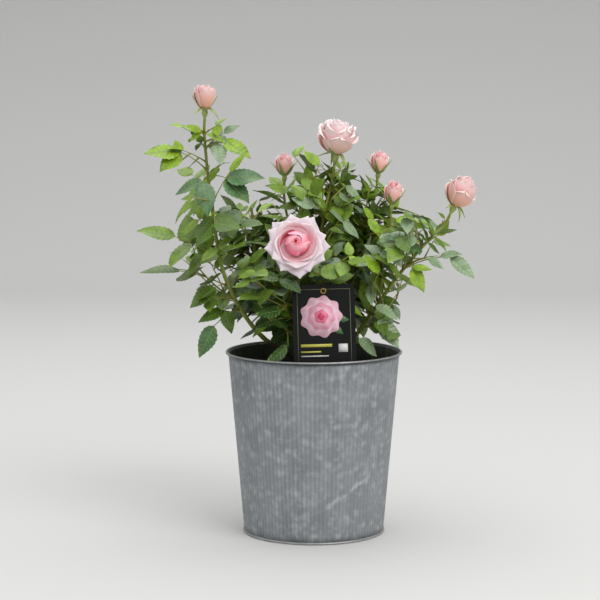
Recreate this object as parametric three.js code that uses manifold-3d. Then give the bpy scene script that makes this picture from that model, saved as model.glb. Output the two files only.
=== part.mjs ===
// A rose bush in a ribbed zinc pot: pot, compost, root crown, canes, foliage masses, seven flowers
// and a plant label. Millimetres, +Z up, the origin under the middle of the pot. The front is -Y.
import * as THREE from "three";
import { mergeVertices } from "three/addons/utils/BufferGeometryUtils.js";
import Module from "manifold-3d";

const wasm = await Module();
wasm.setup();

// Driving dimensions of the pot and what fills it
const POT_HEIGHT = 205;
const POT_TOP_RADIUS = 96.4;
const POT_FOOT_RADIUS = 78.8;
const POT_WALL = 1.2;
const RIM_BEAD_RADIUS = 1.9;
const FOOT_BEAD_RADIUS = 1.4;
const POT_SIDES = 40;
const SOIL_LEVEL = 184;
const SOIL_EDGE_DROP = 4;
const CLEARANCE = 0.3;
const SLIVER = 0.05;

// Driving dimensions of the woody parts
const CROWN_FOOT_RADIUS = 14;
const CROWN_HEIGHT = 17;
const CROWN_CENTRE_Y = 4;
const CROWN_SIDES = 14;
const CANE_FOOT_CIRCLE = 10.5;
const CANE_ROOT_CIRCLE = 4.2;
const CANE_FOOT_RADIUS = 3.4;
const CANE_TIP_RADIUS = 1.5;
const CANE_FOOT_RISE = 9;
const CANE_SIDES = 8;
const CANE_STEPS = 5;
const LIMB_STEPS = 40;
const STEM_SIDES = 5;
const TWIG_SIDES = 3;
const NECK = 12;

// Driving dimensions of the leaves. Shares are of a whole leaf's length, from its stalk's foot to its tip.
const LOWER_PAIR_SHARE = 0.2;
const UPPER_PAIR_SHARE = 0.42;
const END_SHARE = 0.61;
const END_STRETCH = 1.04;
const LOWER_PAIR_SIZE = 0.35;
const UPPER_PAIR_SIZE = 0.39;
const PAIR_SWEEP = 0.42;
const PAIR_SAG = 0.35;
const FACE_UP = 0.7;
const FACE_OUT = 0.7;
const FACE_ROLL = 0.9;
const LEAF_ARCH = 0.13;
const LEAF_SAG = 0.12;
const LEAFLET_SLIMNESS = 0.76;
const LEAFLET_WIDEST = 0.45;
const LEAFLET_FOLD = 0.07;
const LEAFLET_DROOP = 0.06;
const LEAFLET_THICKNESS = 1.1;
const LEAFLET_SPACING = 12;
const SIDE_ROOT_DEPTH = 0.25;
const END_ROOT_DEPTH = 2;
const RIB_RADIUS = 1;
const LEAF_TURN = THREE.MathUtils.degToRad(144);
const LEAF_RISE = [15, 45];
const END_LEAF_RISE = 70;
const LEAF_TRIES = 4;
const TRY_TURN = 0.9;
const TRY_SHRINK = 0.1;

// Driving dimensions of the twigs that carry leaves beside the stem. Leaves are smaller towards the end
// of a stem or a twig, by an end size. Each stretch draws its numbers from its cane's seed, multiplied.
const STEM_STEP = 16;
const STEM_END_SIZE = 0.6;
const TWIG_END_SIZE = 0.8;
const TWIG_RADIUS = 1.1;
const TWIG_REACH = [42, 78];
const TWIG_RISE = [25, 50];
const TWIG_LIFT = 0.35;
const TWIG_STEPS = 2;
const TWIG_SPAN = 0.75;
const TWIG_OFFSET = 0.6;
const TWIG_TRIES = 8;
const TIP_SEEDS = 10;
const STEM_SEEDS = 100;
const TWIG_SEEDS = 1000;
const TWIG_LEAF_SEEDS = 5000;
const NEXT_TWIG = 100;
const NEXT_STRETCH = 40;

// How far leaves and twigs stay from limbs, the label, the pot and the walls of their space
const LIMB_MARGIN = 2.2;
const LABEL_MARGIN = 4;
const POT_MARGIN = 3;
const SPACE_MARGIN = 0.8;

// Driving dimensions of the plant label
const LABEL_WIDTH = 68;
const LABEL_HEIGHT = 100;
const LABEL_THICKNESS = 0.9;
const LABEL_CORNER = 5;
const LABEL_HOLE_RADIUS = 1.6;
const LABEL_HOLE_DROP = 7;
const LABEL_TOP = [9.5, -64, 286];
const LABEL_LEAN = THREE.MathUtils.degToRad(9);
const LABEL_TURN = THREE.MathUtils.degToRad(1.6);
const STAKE_WIDTH = 12;
const STAKE_DEPTH = 36;

// Each flower: its kind, the middle of its petals, and the way it faces
const FLOWERS = [
  { name: "open_rose", kind: "open", centre: [-19, -84, 331], facing: [-0.02, -0.93, 0.36] },
  { name: "opening_rose", kind: "cup", centre: [26, 8, 444], facing: [0.1, -0.14, 0.98] },
  { name: "tall_bud", kind: "bud", centre: [-120, -13, 487], facing: [0.04, -0.06, 1] },
  { name: "right_bud", kind: "globe", centre: [162, -12, 382], facing: [0.42, -0.12, 0.9] },
  { name: "small_bud_left", kind: "small", centre: [-33, 34, 411], facing: [0.02, -0.06, 1] },
  { name: "small_bud_high", kind: "small", centre: [75, 53, 413], facing: [0.12, -0.05, 1] },
  { name: "small_bud_low", kind: "small", centre: [89, 19, 380], facing: [0.1, -0.08, 1] },
];

// Each cane leaves the root crown at an angle in degrees, or from its top, and runs through its bends
// to its flower or tip. It is bare up to its fork, a share of its length, and is the stem of a mass of
// leaves from there on. A centre and a reach bound that mass. The leaf tips that give the crown its
// outline are set here as places, each with the share of the stem that its leaf grows from.
const CANES = [
  {
    name: "left", footAngle: 182, fork: 0.17, centre: [-124, -24, 325], reach: [86, 78, 152], seed: 21,
    bends: [[-58, -11, 222], [-97, -19, 285], [-113, -19, 368]], flower: "tall_bud",
    tips: [
      { from: 0.02, to: [-127, -40, 204] }, { from: 0.16, to: [-136, -47, 258] },
      { from: 0.27, to: [-182, -36, 300] }, { from: 0.4, to: [-184, -30, 343] },
      { from: 0.5, to: [-62, -48, 352] }, { from: 0.58, to: [-156, -36, 382] },
      { from: 0.62, to: [-113, -70, 362] }, { from: 0.66, to: [-57, -26, 402] },
      { from: 0.72, to: [-185, -14, 431] }, { from: 0.8, to: [-71, -26, 424] },
      { from: 0.86, to: [-146, -2, 456] },
    ],
    phase: 60, internode: 56, twigs: 2, leafLength: 82,
  },
  {
    name: "front", footAngle: 258, fork: 0.22, centre: [-18, -74, 262], reach: [100, 72, 84], seed: 34,
    bends: [[-9, -28, 232], [-16, -46, 280]], flower: "open_rose",
    tips: [
      { from: 0.5, to: [-76, -80, 287] }, { from: 0.66, to: [-34, -112, 266] },
      { from: 0.42, to: [46, -70, 292] }, { from: 0.2, to: [-58, -74, 244] },
    ],
    phase: 150, internode: 16, twigs: 3, leafLength: 78,
  },
  {
    name: "middle", fork: 0.24, centre: [-10, 20, 345], reach: [84, 68, 104], seed: 47,
    bends: [[3, 9, 262], [9, 6, 345]], flower: "opening_rose",
    shoots: [{ from: 0.3, bend: [-26, 28, 340], flower: "small_bud_left" }],
    tips: [
      { from: 0.82, to: [45, -8, 402] }, { from: 0.76, to: [-18, -6, 402] },
      { from: 0.6, to: [46, -22, 378] }, { from: 0.5, to: [-58, 6, 382] },
    ],
    phase: 66, internode: 32, twigs: 3, leafLength: 76,
  },
  {
    name: "right", footAngle: 330, fork: 0.22, centre: [118, -28, 285], reach: [82, 74, 100], seed: 55,
    bends: [[43, -2, 218], [93, -9, 289], [130, -11, 333]], flower: "right_bud",
    tips: [
      { from: 0.06, to: [70, -50, 212] }, { from: 0.12, to: [95, -42, 215] },
      { from: 0.22, to: [93, -50, 251] }, { from: 0.42, to: [180, -30, 291] },
      { from: 0.46, to: [119, -52, 279] }, { from: 0.7, to: [86, -46, 336] },
      { from: 0.72, to: [152, -32, 344] },
    ],
    phase: 20, internode: 40, twigs: 2, leafLength: 76,
  },
  {
    name: "rear_right", footAngle: 25, fork: 0.26, centre: [80, 44, 325], reach: [76, 76, 94], seed: 68,
    bends: [[30, 20, 250], [48, 32, 319]], flower: "small_bud_high",
    shoots: [{ from: 0.42, bend: [80, 28, 336], flower: "small_bud_low" }],
    tips: [
      { from: 0.78, to: [54, 44, 396] }, { from: 0.6, to: [118, 4, 346] },
      { from: 0.52, to: [48, 8, 370] },
    ],
    phase: 12, internode: 32, twigs: 3, leafLength: 78,
  },
  {
    name: "rear_left", footAngle: 132, fork: 0.26, centre: [-72, 66, 292], reach: [86, 78, 104], seed: 79,
    bends: [[-30, 32, 234], [-62, 62, 300]], tip: [-72, 74, 362],
    tips: [],
    phase: 110, internode: 16, twigs: 4, leafLength: 84,
  },
  {
    name: "rear", footAngle: 78, fork: 0.26, centre: [22, 98, 280], reach: [86, 76, 98], seed: 83,
    bends: [[10, 40, 232], [24, 76, 290]], tip: [34, 90, 346],
    tips: [],
    phase: 90, internode: 16, twigs: 4, leafLength: 84,
  },
];

// How each kind of flower is built: how far its middle is from its stalk's foot, the sphere round that
// middle that leaves keep out of, its hip, its sepals, and its layers of petals. A layer's outline goes
// from the axis out under the petals and back over them, as [radius, height above the hip], and its rim
// is cut into as many points as it has petals.
const FLOWER_KINDS = {
  open: {
    height: 22, space: 40, hip: 4.2, sepal: 18, sepalAngle: 112,
    layers: [
      {
        petals: 11, notch: 0.16,
        outline: [[3, 0], [17, 6], [30, 9], [36.5, 7], [36, 8.4], [28, 11.5], [10, 11], [4, 9]],
      },
      {
        petals: 5, notch: 0.1,
        outline: [[3, 2], [9, 7], [13, 14], [13.6, 19], [12.4, 19.6], [6, 15], [2, 17]],
      },
    ],
  },
  cup: {
    height: 32, space: 30, hip: 4.2, sepal: 21, sepalAngle: 122,
    layers: [
      {
        petals: 5, notch: 0.14,
        outline: [[3, 0], [15, 6], [21.5, 16], [23, 29], [21.8, 29.5], [14, 20], [5, 12]],
      },
      {
        petals: 5, notch: 0.1,
        outline: [[3, 2], [15, 14], [18, 24], [15, 33], [11, 35], [4, 34]],
      },
    ],
  },
  globe: {
    height: 27, space: 24, hip: 3.8, sepal: 17, sepalAngle: 108,
    layers: [
      { petals: 4, notch: 0.1, outline: [[3, 0], [11, 5], [15.6, 14], [14.4, 24], [8, 32], [3, 32]] },
    ],
  },
  bud: {
    height: 24, space: 20, hip: 3.4, sepal: 18, sepalAngle: 50,
    layers: [
      { petals: 4, notch: 0.1, outline: [[3, 0], [9, 4], [12.6, 12], [12, 20], [9.6, 26.5], [4, 26]] },
    ],
  },
  small: {
    height: 22, space: 19, hip: 3, sepal: 17, sepalAngle: 26,
    layers: [
      { petals: 3, notch: 0.1, outline: [[2.5, 0], [6.6, 3], [8.6, 10], [7, 18], [2.4, 24]] },
    ],
  },
};
const POINTS_PER_PETAL = 3;
const PETAL_TWIST = 0.3;
const PEDICEL_LENGTH = 4;
const HIP_SIDES = 8;
const SEPALS = 5;
const SEPAL_HALF_WIDTH = 0.13;
const SEPAL_WIDEST = 0.35;
const SEPAL_THICKNESS = 0.8;

const UP = new THREE.Vector3(0, 0, 1);
const vector = (list) => new THREE.Vector3(...list);
const radians = THREE.MathUtils.degToRad;

// Joining and cutting

function solid(geometry) {
  const bare = new THREE.BufferGeometry();
  bare.setAttribute("position", geometry.getAttribute("position").clone());
  if (geometry.index) bare.setIndex(geometry.index.clone());
  const merged = mergeVertices(bare, 1e-4);
  return new wasm.Manifold(new wasm.Mesh({
    numProp: 3,
    vertProperties: merged.attributes.position.array,
    triVerts: new Uint32Array(merged.index.array),
  }));
}

// The largest outer skin of a joined solid: it fills sealed hollows and drops loose scraps.
function outerSkin(joined) {
  const shells = joined.asOriginal().simplify(SLIVER).decompose().sort((a, b) => b.volume() - a.volume());
  return shells[0];
}

function fuse(solids) {
  return outerSkin(wasm.Manifold.union(solids));
}

function geometryOf(manifold) {
  const { vertProperties, triVerts } = manifold.getMesh();
  const indexed = new THREE.BufferGeometry();
  indexed.setAttribute("position", new THREE.BufferAttribute(vertProperties, 3));
  indexed.setIndex(new THREE.BufferAttribute(triVerts, 1));
  const faceted = indexed.toNonIndexed();
  faceted.computeVertexNormals();
  return faceted;
}

// A closed solid from rings of points, each ring the same length, with a fan over each end.
function ringedSolid(rings) {
  const sides = rings[0].length;
  const points = rings.flat();
  const faces = [];
  for (let i = 0; i + 1 < rings.length; i++) {
    for (let k = 0; k < sides; k++) {
      const a = i * sides + k;
      const b = i * sides + ((k + 1) % sides);
      faces.push(a, b, b + sides, a, b + sides, a + sides);
    }
  }
  const last = (rings.length - 1) * sides;
  for (let k = 1; k + 1 < sides; k++) {
    faces.push(0, k + 1, k, last, last + k, last + k + 1);
  }
  const geometry = new THREE.BufferGeometry().setFromPoints(points);
  geometry.setIndex(faces);
  return solid(geometry);
}

// A round limb through places on its axis, each with its way along and its radius. Its rings start from
// a way that no limb runs along.
function limb(places, sides) {
  const across = new THREE.Vector3(0.94, 0.3, 0.16);
  const rings = places.map(({ place, along, radius }) => {
    across.addScaledVector(along, -across.dot(along)).normalize();
    const other = along.clone().cross(across);
    return Array.from({ length: sides }, (_, k) => {
      const turn = (2 * Math.PI * k) / sides;
      return place.clone()
        .addScaledVector(across, radius * Math.cos(turn))
        .addScaledVector(other, radius * Math.sin(turn));
    });
  });
  return ringedSolid(rings);
}

// Pot, compost and root crown

// A turned solid round +Z, from a profile of [radius, height].
function lathe(profile, sides) {
  const outline = profile.map(([radius, height]) => new THREE.Vector2(radius, height));
  return solid(new THREE.LatheGeometry(outline, sides).rotateX(Math.PI / 2));
}

// A round edge of a profile, from one angle to another round its middle.
function bead(radius, height, size, fromAngle, toAngle, steps) {
  return Array.from({ length: steps + 1 }, (_, i) => {
    const turn = radians(fromAngle + ((toAngle - fromAngle) * i) / steps);
    return [radius + size * Math.cos(turn), height + size * Math.sin(turn)];
  });
}

function potInnerRadius(height) {
  const share = height / POT_HEIGHT;
  return THREE.MathUtils.lerp(POT_FOOT_RADIUS, POT_TOP_RADIUS, share) - POT_WALL;
}

function potSolid() {
  const beadHeight = POT_HEIGHT - RIM_BEAD_RADIUS;
  return lathe([
    [0, 0],
    ...bead(POT_FOOT_RADIUS, FOOT_BEAD_RADIUS, FOOT_BEAD_RADIUS, -90, 60, 2),
    [POT_FOOT_RADIUS, 2.6 * FOOT_BEAD_RADIUS],
    [POT_TOP_RADIUS, POT_HEIGHT - 2.3 * RIM_BEAD_RADIUS],
    ...bead(POT_TOP_RADIUS + RIM_BEAD_RADIUS, beadHeight, RIM_BEAD_RADIUS, -100, 140, 3),
    [potInnerRadius(beadHeight), beadHeight],
    [potInnerRadius(POT_WALL), POT_WALL],
    [0, POT_WALL],
  ], POT_SIDES);
}

// The compost is a little lower at the pot's wall, and is cut clear of what stands in it.
function soilSolid(cuts) {
  const foot = POT_WALL + CLEARANCE;
  const edge = SOIL_LEVEL - SOIL_EDGE_DROP;
  const plug = lathe([
    [0, foot],
    [potInnerRadius(foot) - CLEARANCE, foot],
    [potInnerRadius(edge) - CLEARANCE, edge],
    [0.55 * POT_TOP_RADIUS, SOIL_LEVEL - 0.3 * SOIL_EDGE_DROP],
    [1.6 * CROWN_FOOT_RADIUS, SOIL_LEVEL],
    [0, SOIL_LEVEL],
  ], POT_SIDES);
  return cuts.reduce((left, cut) => left.subtract(cut), plug);
}

// The knuckle that the canes rise from, cut flat where it stands on the compost.
function rootCrownSolid(grow) {
  const foot = SOIL_LEVEL + CLEARANCE - grow;
  const shape = lathe([
    [0, foot],
    [CROWN_FOOT_RADIUS + grow, foot],
    [0.74 * CROWN_FOOT_RADIUS + grow, foot + 0.3 * CROWN_HEIGHT],
    [0.8 * CROWN_FOOT_RADIUS + grow, foot + 0.7 * CROWN_HEIGHT],
    [0.5 * CROWN_FOOT_RADIUS + grow, foot + CROWN_HEIGHT + 2 * grow],
    [0, foot + CROWN_HEIGHT + 2 * grow],
  ], CROWN_SIDES);
  return shape.translate([0, CROWN_CENTRE_Y, 0]);
}

// Canes and shoots

function flowerNamed(name) {
  return FLOWERS.find((flower) => flower.name === name);
}

// Where a flower's stalk starts, and its way up the flower's axis.
function flowerFoot(flower) {
  const along = vector(flower.facing).normalize();
  const place = vector(flower.centre).addScaledVector(along, -FLOWER_KINDS[flower.kind].height);
  return { place, along };
}

// A curve that ends at a tip, and runs straight along the flower's axis where there is a flower.
function curveToEnd(points, end) {
  if (end.tip) return new THREE.CatmullRomCurve3([...points, vector(end.tip)]);
  const { place, along } = flowerFoot(flowerNamed(end.flower));
  return new THREE.CatmullRomCurve3([...points, place.clone().addScaledVector(along, -NECK), place]);
}

// A cane's whole curve, from inside the root crown to its flower or tip.
function caneCurve(cane) {
  const height = SOIL_LEVEL + CANE_FOOT_RISE;
  const middle = new THREE.Vector3(0, CROWN_CENTRE_Y, height);
  if (cane.footAngle === undefined) {
    return curveToEnd([middle, ...cane.bends.map(vector)], cane);
  }
  const turn = radians(cane.footAngle);
  const outwards = new THREE.Vector3(Math.cos(turn), Math.sin(turn), 0);
  const foot = middle.clone().addScaledVector(outwards, CANE_FOOT_CIRCLE);
  const inner = middle.clone().addScaledVector(outwards, CANE_ROOT_CIRCLE);
  return curveToEnd([inner, foot, ...cane.bends.map(vector)], cane);
}

function caneRadiusAt(share) {
  return THREE.MathUtils.lerp(CANE_FOOT_RADIUS, CANE_TIP_RADIUS, Math.sqrt(share));
}

// Even places along a stretch of a curve, with the radius there.
function placesAlong(curve, from, to, steps, radiusAt) {
  return Array.from({ length: steps + 1 }, (_, i) => {
    const share = THREE.MathUtils.lerp(from, to, i / steps);
    return { place: curve.getPointAt(share), along: curve.getTangentAt(share), radius: radiusAt(share) };
  });
}

const CANE_CURVES = CANES.map(caneCurve);
const LIMB_PLACES = CANE_CURVES.map((curve) => placesAlong(curve, 0, 1, LIMB_STEPS, caneRadiusAt));

// What a twig or a leaf has to keep clear of

// The label stands almost upright, with its face to the front and the middle of its top edge at its top.
function labelMatrix() {
  const matrix = new THREE.Matrix4().makeRotationX(Math.PI / 2 - LABEL_LEAN);
  matrix.premultiply(new THREE.Matrix4().makeRotationY(-LABEL_TURN));
  matrix.setPosition(...LABEL_TOP);
  return matrix;
}
const LABEL_PLACE = labelMatrix();
const LABEL_PLACE_BACK = LABEL_PLACE.clone().invert();

function nearLabel(point) {
  const local = point.clone().applyMatrix4(LABEL_PLACE_BACK);
  return Math.abs(local.x) < LABEL_WIDTH / 2 + LABEL_MARGIN
    && local.y < LABEL_MARGIN && local.y > -LABEL_HEIGHT - STAKE_DEPTH
    && Math.abs(local.z) < LABEL_MARGIN;
}

// A mass's own space is an ellipsoid, cut halfway to the middle of each other mass.
function inOwnSpace(point, owner) {
  const centre = vector(CANES[owner].centre);
  const [x, y, z] = point.clone().sub(centre).divide(vector(CANES[owner].reach)).toArray();
  if (x * x + y * y + z * z > 1) return false;
  return CANES.every((other, index) => {
    if (index === owner) return true;
    const theirs = vector(other.centre);
    const way = theirs.clone().sub(centre).normalize();
    const wall = theirs.clone().add(centre).multiplyScalar(0.5);
    return point.clone().sub(wall).dot(way) < -SPACE_MARGIN;
  });
}

function clearOfPot(point) {
  const radius = Math.hypot(point.x, point.y);
  const wall = potInnerRadius(point.z);
  if (point.z > POT_HEIGHT + POT_MARGIN) return true;
  if (radius < wall - POT_MARGIN) return point.z > SOIL_LEVEL + POT_MARGIN;
  return radius > wall + POT_WALL + 2 * RIM_BEAD_RADIUS + POT_MARGIN;
}

function isClear(point, owner) {
  if (!inOwnSpace(point, owner) || !clearOfPot(point) || nearLabel(point)) return false;
  const touchesFlower = FLOWERS.some((flower) =>
    point.distanceTo(vector(flower.centre)) < FLOWER_KINDS[flower.kind].space);
  if (touchesFlower) return false;
  return LIMB_PLACES.every((places, index) => places.every(({ place, radius }, step) => {
    if (index === owner && step > CANES[owner].fork * LIMB_STEPS + 1) return true;
    return point.distanceTo(place) > radius + LIMB_MARGIN;
  }));
}

function lineIsClear(from, to, owner, steps) {
  for (let i = 1; i <= steps; i++) {
    if (!isClear(from.clone().lerp(to, i / steps), owner)) return false;
  }
  return true;
}

// Leaves

// A repeatable run of numbers from 0 to 1.
function numbersFrom(seed) {
  let state = (seed * 69069 + 12345) % 4294967296;
  const next = () => {
    state = (1664525 * state + 1013904223) % 4294967296;
    return state / 4294967296;
  };
  next();
  next();
  return next;
}

// The outline of a leaflet, folded up a little on both sides of its middle.
function leafletOutline(foot, way, face, length, rootDepth) {
  const along = way.clone().normalize();
  const side = along.clone().cross(face).normalize();
  const lift = side.clone().cross(along).normalize();
  const middle = foot.clone().addScaledVector(along, LEAFLET_WIDEST * length);
  const halfWidth = (LEAFLET_SLIMNESS * length) / 2;
  const fold = LEAFLET_FOLD * length;
  return {
    foot: foot.clone().addScaledVector(along, -rootDepth),
    tip: foot.clone().addScaledVector(along, length).addScaledVector(lift, -LEAFLET_DROOP * length),
    left: middle.clone().addScaledVector(side, -halfWidth).addScaledVector(lift, fold),
    right: middle.clone().addScaledVector(side, halfWidth).addScaledVector(lift, fold),
    middle,
    lift,
  };
}

function leafletSolid({ foot, tip, left, right, middle, lift }) {
  const top = middle.clone().addScaledVector(lift, LEAFLET_THICKNESS / 2);
  const under = middle.clone().addScaledVector(lift, -LEAFLET_THICKNESS / 2);
  const faces = [];
  for (let k = 0; k < 4; k++) {
    const next = (k + 1) % 4;
    faces.push(k, next, 4, next, k, 5);
  }
  const geometry = new THREE.BufferGeometry().setFromPoints([foot, right, tip, left, top, under]);
  geometry.setIndex(faces);
  return solid(geometry);
}

function leafletIsClear({ foot, tip, left, right, middle }, owner) {
  return lineIsClear(foot, tip, owner, 5)
    && [left, right].every((edge) =>
      lineIsClear(edge, tip, owner, 3) && lineIsClear(middle, edge, owner, 2));
}

// A whole leaf, which arches from its foot to its tip: a stalk and rib with pairs of leaflets and one at
// the end. It is null where its rib would not fit, or fewer than two leaflets would.
function growLeaf(foot, tip, pairs, owner, neighbours, random) {
  const length = foot.distanceTo(tip);
  const peak = foot.clone().lerp(tip, 0.5).addScaledVector(UP, LEAF_ARCH * length);
  const arch = new THREE.QuadraticBezierCurve3(foot, peak, tip);
  const rib = [0, UPPER_PAIR_SHARE, END_SHARE].map((share) => ({
    place: arch.getPoint(share), along: arch.getTangent(share), radius: RIB_RADIUS,
  }));
  if (!lineIsClear(rib[0].place, rib[1].place, owner, 5)) return null;
  if (!lineIsClear(rib[1].place, rib[2].place, owner, 2)) return null;
  const outwards = new THREE.Vector3(tip.x, tip.y, 0).normalize();
  const face = UP.clone().multiplyScalar(FACE_UP).addScaledVector(outwards, FACE_OUT);
  face.x += FACE_ROLL * (random() - 0.5);
  face.y += FACE_ROLL * (random() - 0.5);
  const heading = rib[1].along;
  const side = heading.clone().cross(face).normalize();
  const leaflets = [];
  const addLeaflet = (place, way, leafletLength, rootDepth) => {
    const leaflet = leafletOutline(place, way, face, leafletLength, rootDepth);
    const isFree = neighbours.every((other) => other.distanceTo(leaflet.middle) > LEAFLET_SPACING);
    if (isFree && leafletIsClear(leaflet, owner)) leaflets.push(leaflet);
  };
  const endLength = (1 - END_SHARE) * length * END_STRETCH;
  addLeaflet(rib[2].place, tip.clone().sub(rib[2].place), endLength, END_ROOT_DEPTH);
  const lowerPlace = rib[0].place.clone().lerp(rib[1].place, LOWER_PAIR_SHARE / UPPER_PAIR_SHARE);
  const pairPlaces = [[rib[1].place, UPPER_PAIR_SIZE], [lowerPlace, LOWER_PAIR_SIZE]].slice(0, pairs);
  for (const [place, size] of pairPlaces) {
    for (const hand of [-1, 1]) {
      const way = side.clone().multiplyScalar(hand).addScaledVector(heading, PAIR_SWEEP);
      way.z -= PAIR_SAG * random();
      addLeaflet(place, way, size * length, SIDE_ROOT_DEPTH);
    }
  }
  if (leaflets.length < 2) return null;
  neighbours.push(...leaflets.map(({ middle }) => middle));
  return { rib, leaflets };
}

// The way that a leaf or a twig leaves its stem, turned round the stem and raised along it.
function wayOut(along, turn, rise) {
  const first = new THREE.Vector3(1, 0, 0).addScaledVector(along, -along.x).normalize();
  const second = along.clone().cross(first);
  const out = first.multiplyScalar(Math.cos(turn)).addScaledVector(second, Math.sin(turn));
  return out.multiplyScalar(Math.cos(rise)).addScaledVector(along, Math.sin(rise)).normalize();
}

// Sets a leaf at every node of a stem, each two fifths of a turn on from the last.
function leavesAlong(places, cane, owner, neighbours, seed, endSize) {
  const leaves = [];
  const last = places.length - 1;
  for (let i = 1; i < places.length; i++) {
    const random = numbersFrom(seed + i);
    const { place, along } = places[i];
    const fullLength = cane.leafLength * THREE.MathUtils.lerp(1, endSize, i / last);
    const pairs = i === last ? 1 : 2;
    for (let attempt = 0; attempt < LEAF_TRIES; attempt++) {
      const turn = radians(cane.phase) + i * LEAF_TURN + attempt * TRY_TURN;
      const draw = random();
      const isEnd = i === last && !cane.flower;
      const rise = radians(isEnd ? END_LEAF_RISE : THREE.MathUtils.lerp(...LEAF_RISE, draw));
      const length = fullLength * (1 - TRY_SHRINK * attempt);
      const tip = place.clone().addScaledVector(wayOut(along, turn, rise), length);
      tip.z -= LEAF_SAG * length;
      const leaf = growLeaf(place, tip, pairs, owner, neighbours, random);
      if (leaf) {
        leaves.push(leaf);
        break;
      }
    }
  }
  return leaves;
}

// A side twig that bends upwards, or null where it would leave its space.
function growTwig({ place, along }, turn, owner, random) {
  const way = wayOut(along, turn, radians(THREE.MathUtils.lerp(...TWIG_RISE, random())));
  const reach = THREE.MathUtils.lerp(...TWIG_REACH, random());
  const bend = place.clone().addScaledVector(way, 0.5 * reach);
  const tip = bend.clone().addScaledVector(way.clone().lerp(UP, TWIG_LIFT).normalize(), 0.5 * reach);
  if (!lineIsClear(place, bend, owner, 4) || !lineIsClear(bend, tip, owner, 4)) return null;
  return new THREE.QuadraticBezierCurve3(place, bend, tip);
}

function growTwigs(places, cane, owner) {
  const twigs = [];
  for (let i = 0; i < cane.twigs; i++) {
    const share = ((i + TWIG_OFFSET) / cane.twigs) * TWIG_SPAN;
    const start = places[Math.round(share * (places.length - 1))];
    for (let attempt = 0; attempt < TWIG_TRIES; attempt++) {
      const random = numbersFrom(TWIG_SEEDS * cane.seed + NEXT_TWIG * i + attempt);
      const turn = radians(cane.phase) + (i + 0.5) * LEAF_TURN + attempt * TRY_TURN;
      const twig = growTwig(start, turn, owner, random);
      if (twig) {
        twigs.push(twig);
        break;
      }
    }
  }
  return twigs;
}

function leafSolids({ rib, leaflets }) {
  return [limb(rib, TWIG_SIDES), ...leaflets.map(leafletSolid)];
}

// A mass of leaves: the stem that goes on from a cane, its shoots and twigs, and the leaves on them all.
function foliageSolid(owner) {
  const cane = CANES[owner];
  const curve = CANE_CURVES[owner];
  const neighbours = [];
  const stemLength = curve.getLength() * (1 - cane.fork);
  const nodes = Math.round(stemLength / STEM_STEP);
  const stem = placesAlong(curve, cane.fork, 1, nodes, caneRadiusAt);
  const parts = [limb(stem, STEM_SIDES)];
  const leaves = [];
  cane.tips.forEach(({ from, to }, index) => {
    const start = stem[Math.round(from * nodes)];
    const random = numbersFrom(TIP_SEEDS * cane.seed + index);
    leaves.push(growLeaf(start.place, vector(to), 2, owner, neighbours, random));
  });
  const stride = Math.max(1, Math.round(cane.internode / STEM_STEP));
  const sites = stem.filter((_, i) => i % stride === 0 && (cane.tip || i < nodes));
  const stemSeed = STEM_SEEDS * cane.seed;
  leaves.push(...leavesAlong(sites, cane, owner, neighbours, stemSeed, STEM_END_SIZE));
  cane.shoots?.forEach((shoot, index) => {
    const start = stem[Math.round(shoot.from * nodes)].place;
    const shootCurve = curveToEnd([start, vector(shoot.bend)], shoot);
    const count = Math.round(shootCurve.getLength() / STEM_STEP);
    const places = placesAlong(shootCurve, 0, 1, count, () => CANE_TIP_RADIUS);
    parts.push(limb(places, STEM_SIDES));
    const shootSites = places.filter((_, i) => i % stride === 0 && i < count);
    const seed = stemSeed + NEXT_STRETCH * (index + 1);
    leaves.push(...leavesAlong(shootSites, cane, owner, neighbours, seed, STEM_END_SIZE));
  });
  growTwigs(stem, cane, owner).forEach((twig, index) => {
    const places = placesAlong(twig, 0, 1, TWIG_STEPS, () => TWIG_RADIUS);
    parts.push(limb(places, TWIG_SIDES));
    const leafyEnd = { ...cane, flower: null };
    const seed = TWIG_LEAF_SEEDS * cane.seed + NEXT_STRETCH * index;
    leaves.push(...leavesAlong(places, leafyEnd, owner, neighbours, seed, TWIG_END_SIZE));
  });
  const grown = leaves.filter((leaf) => leaf !== null);
  grown.forEach((leaf) => parts.push(...leafSolids(leaf)));
  return fuse(parts);
}

// Flowers, each built with its stalk's foot at the origin and its axis along +Z

// A layer of petals that overlap round the flower, its rim drawn in between their points.
function layerSolid({ petals, notch, outline }, baseHeight) {
  const rim = Math.max(...outline.map(([radius]) => radius));
  const sides = POINTS_PER_PETAL * petals;
  return ringedSolid(outline.map(([radius, height], row) => Array.from({ length: sides }, (_, k) => {
    const turn = (2 * Math.PI * k) / sides + (PETAL_TWIST * row) / outline.length;
    const drawnIn = k % POINTS_PER_PETAL === 0 ? 0 : notch * (radius / rim) ** 3;
    const wide = radius * (1 - drawnIn);
    return new THREE.Vector3(wide * Math.cos(turn), wide * Math.sin(turn), baseHeight + height);
  })));
}

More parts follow.
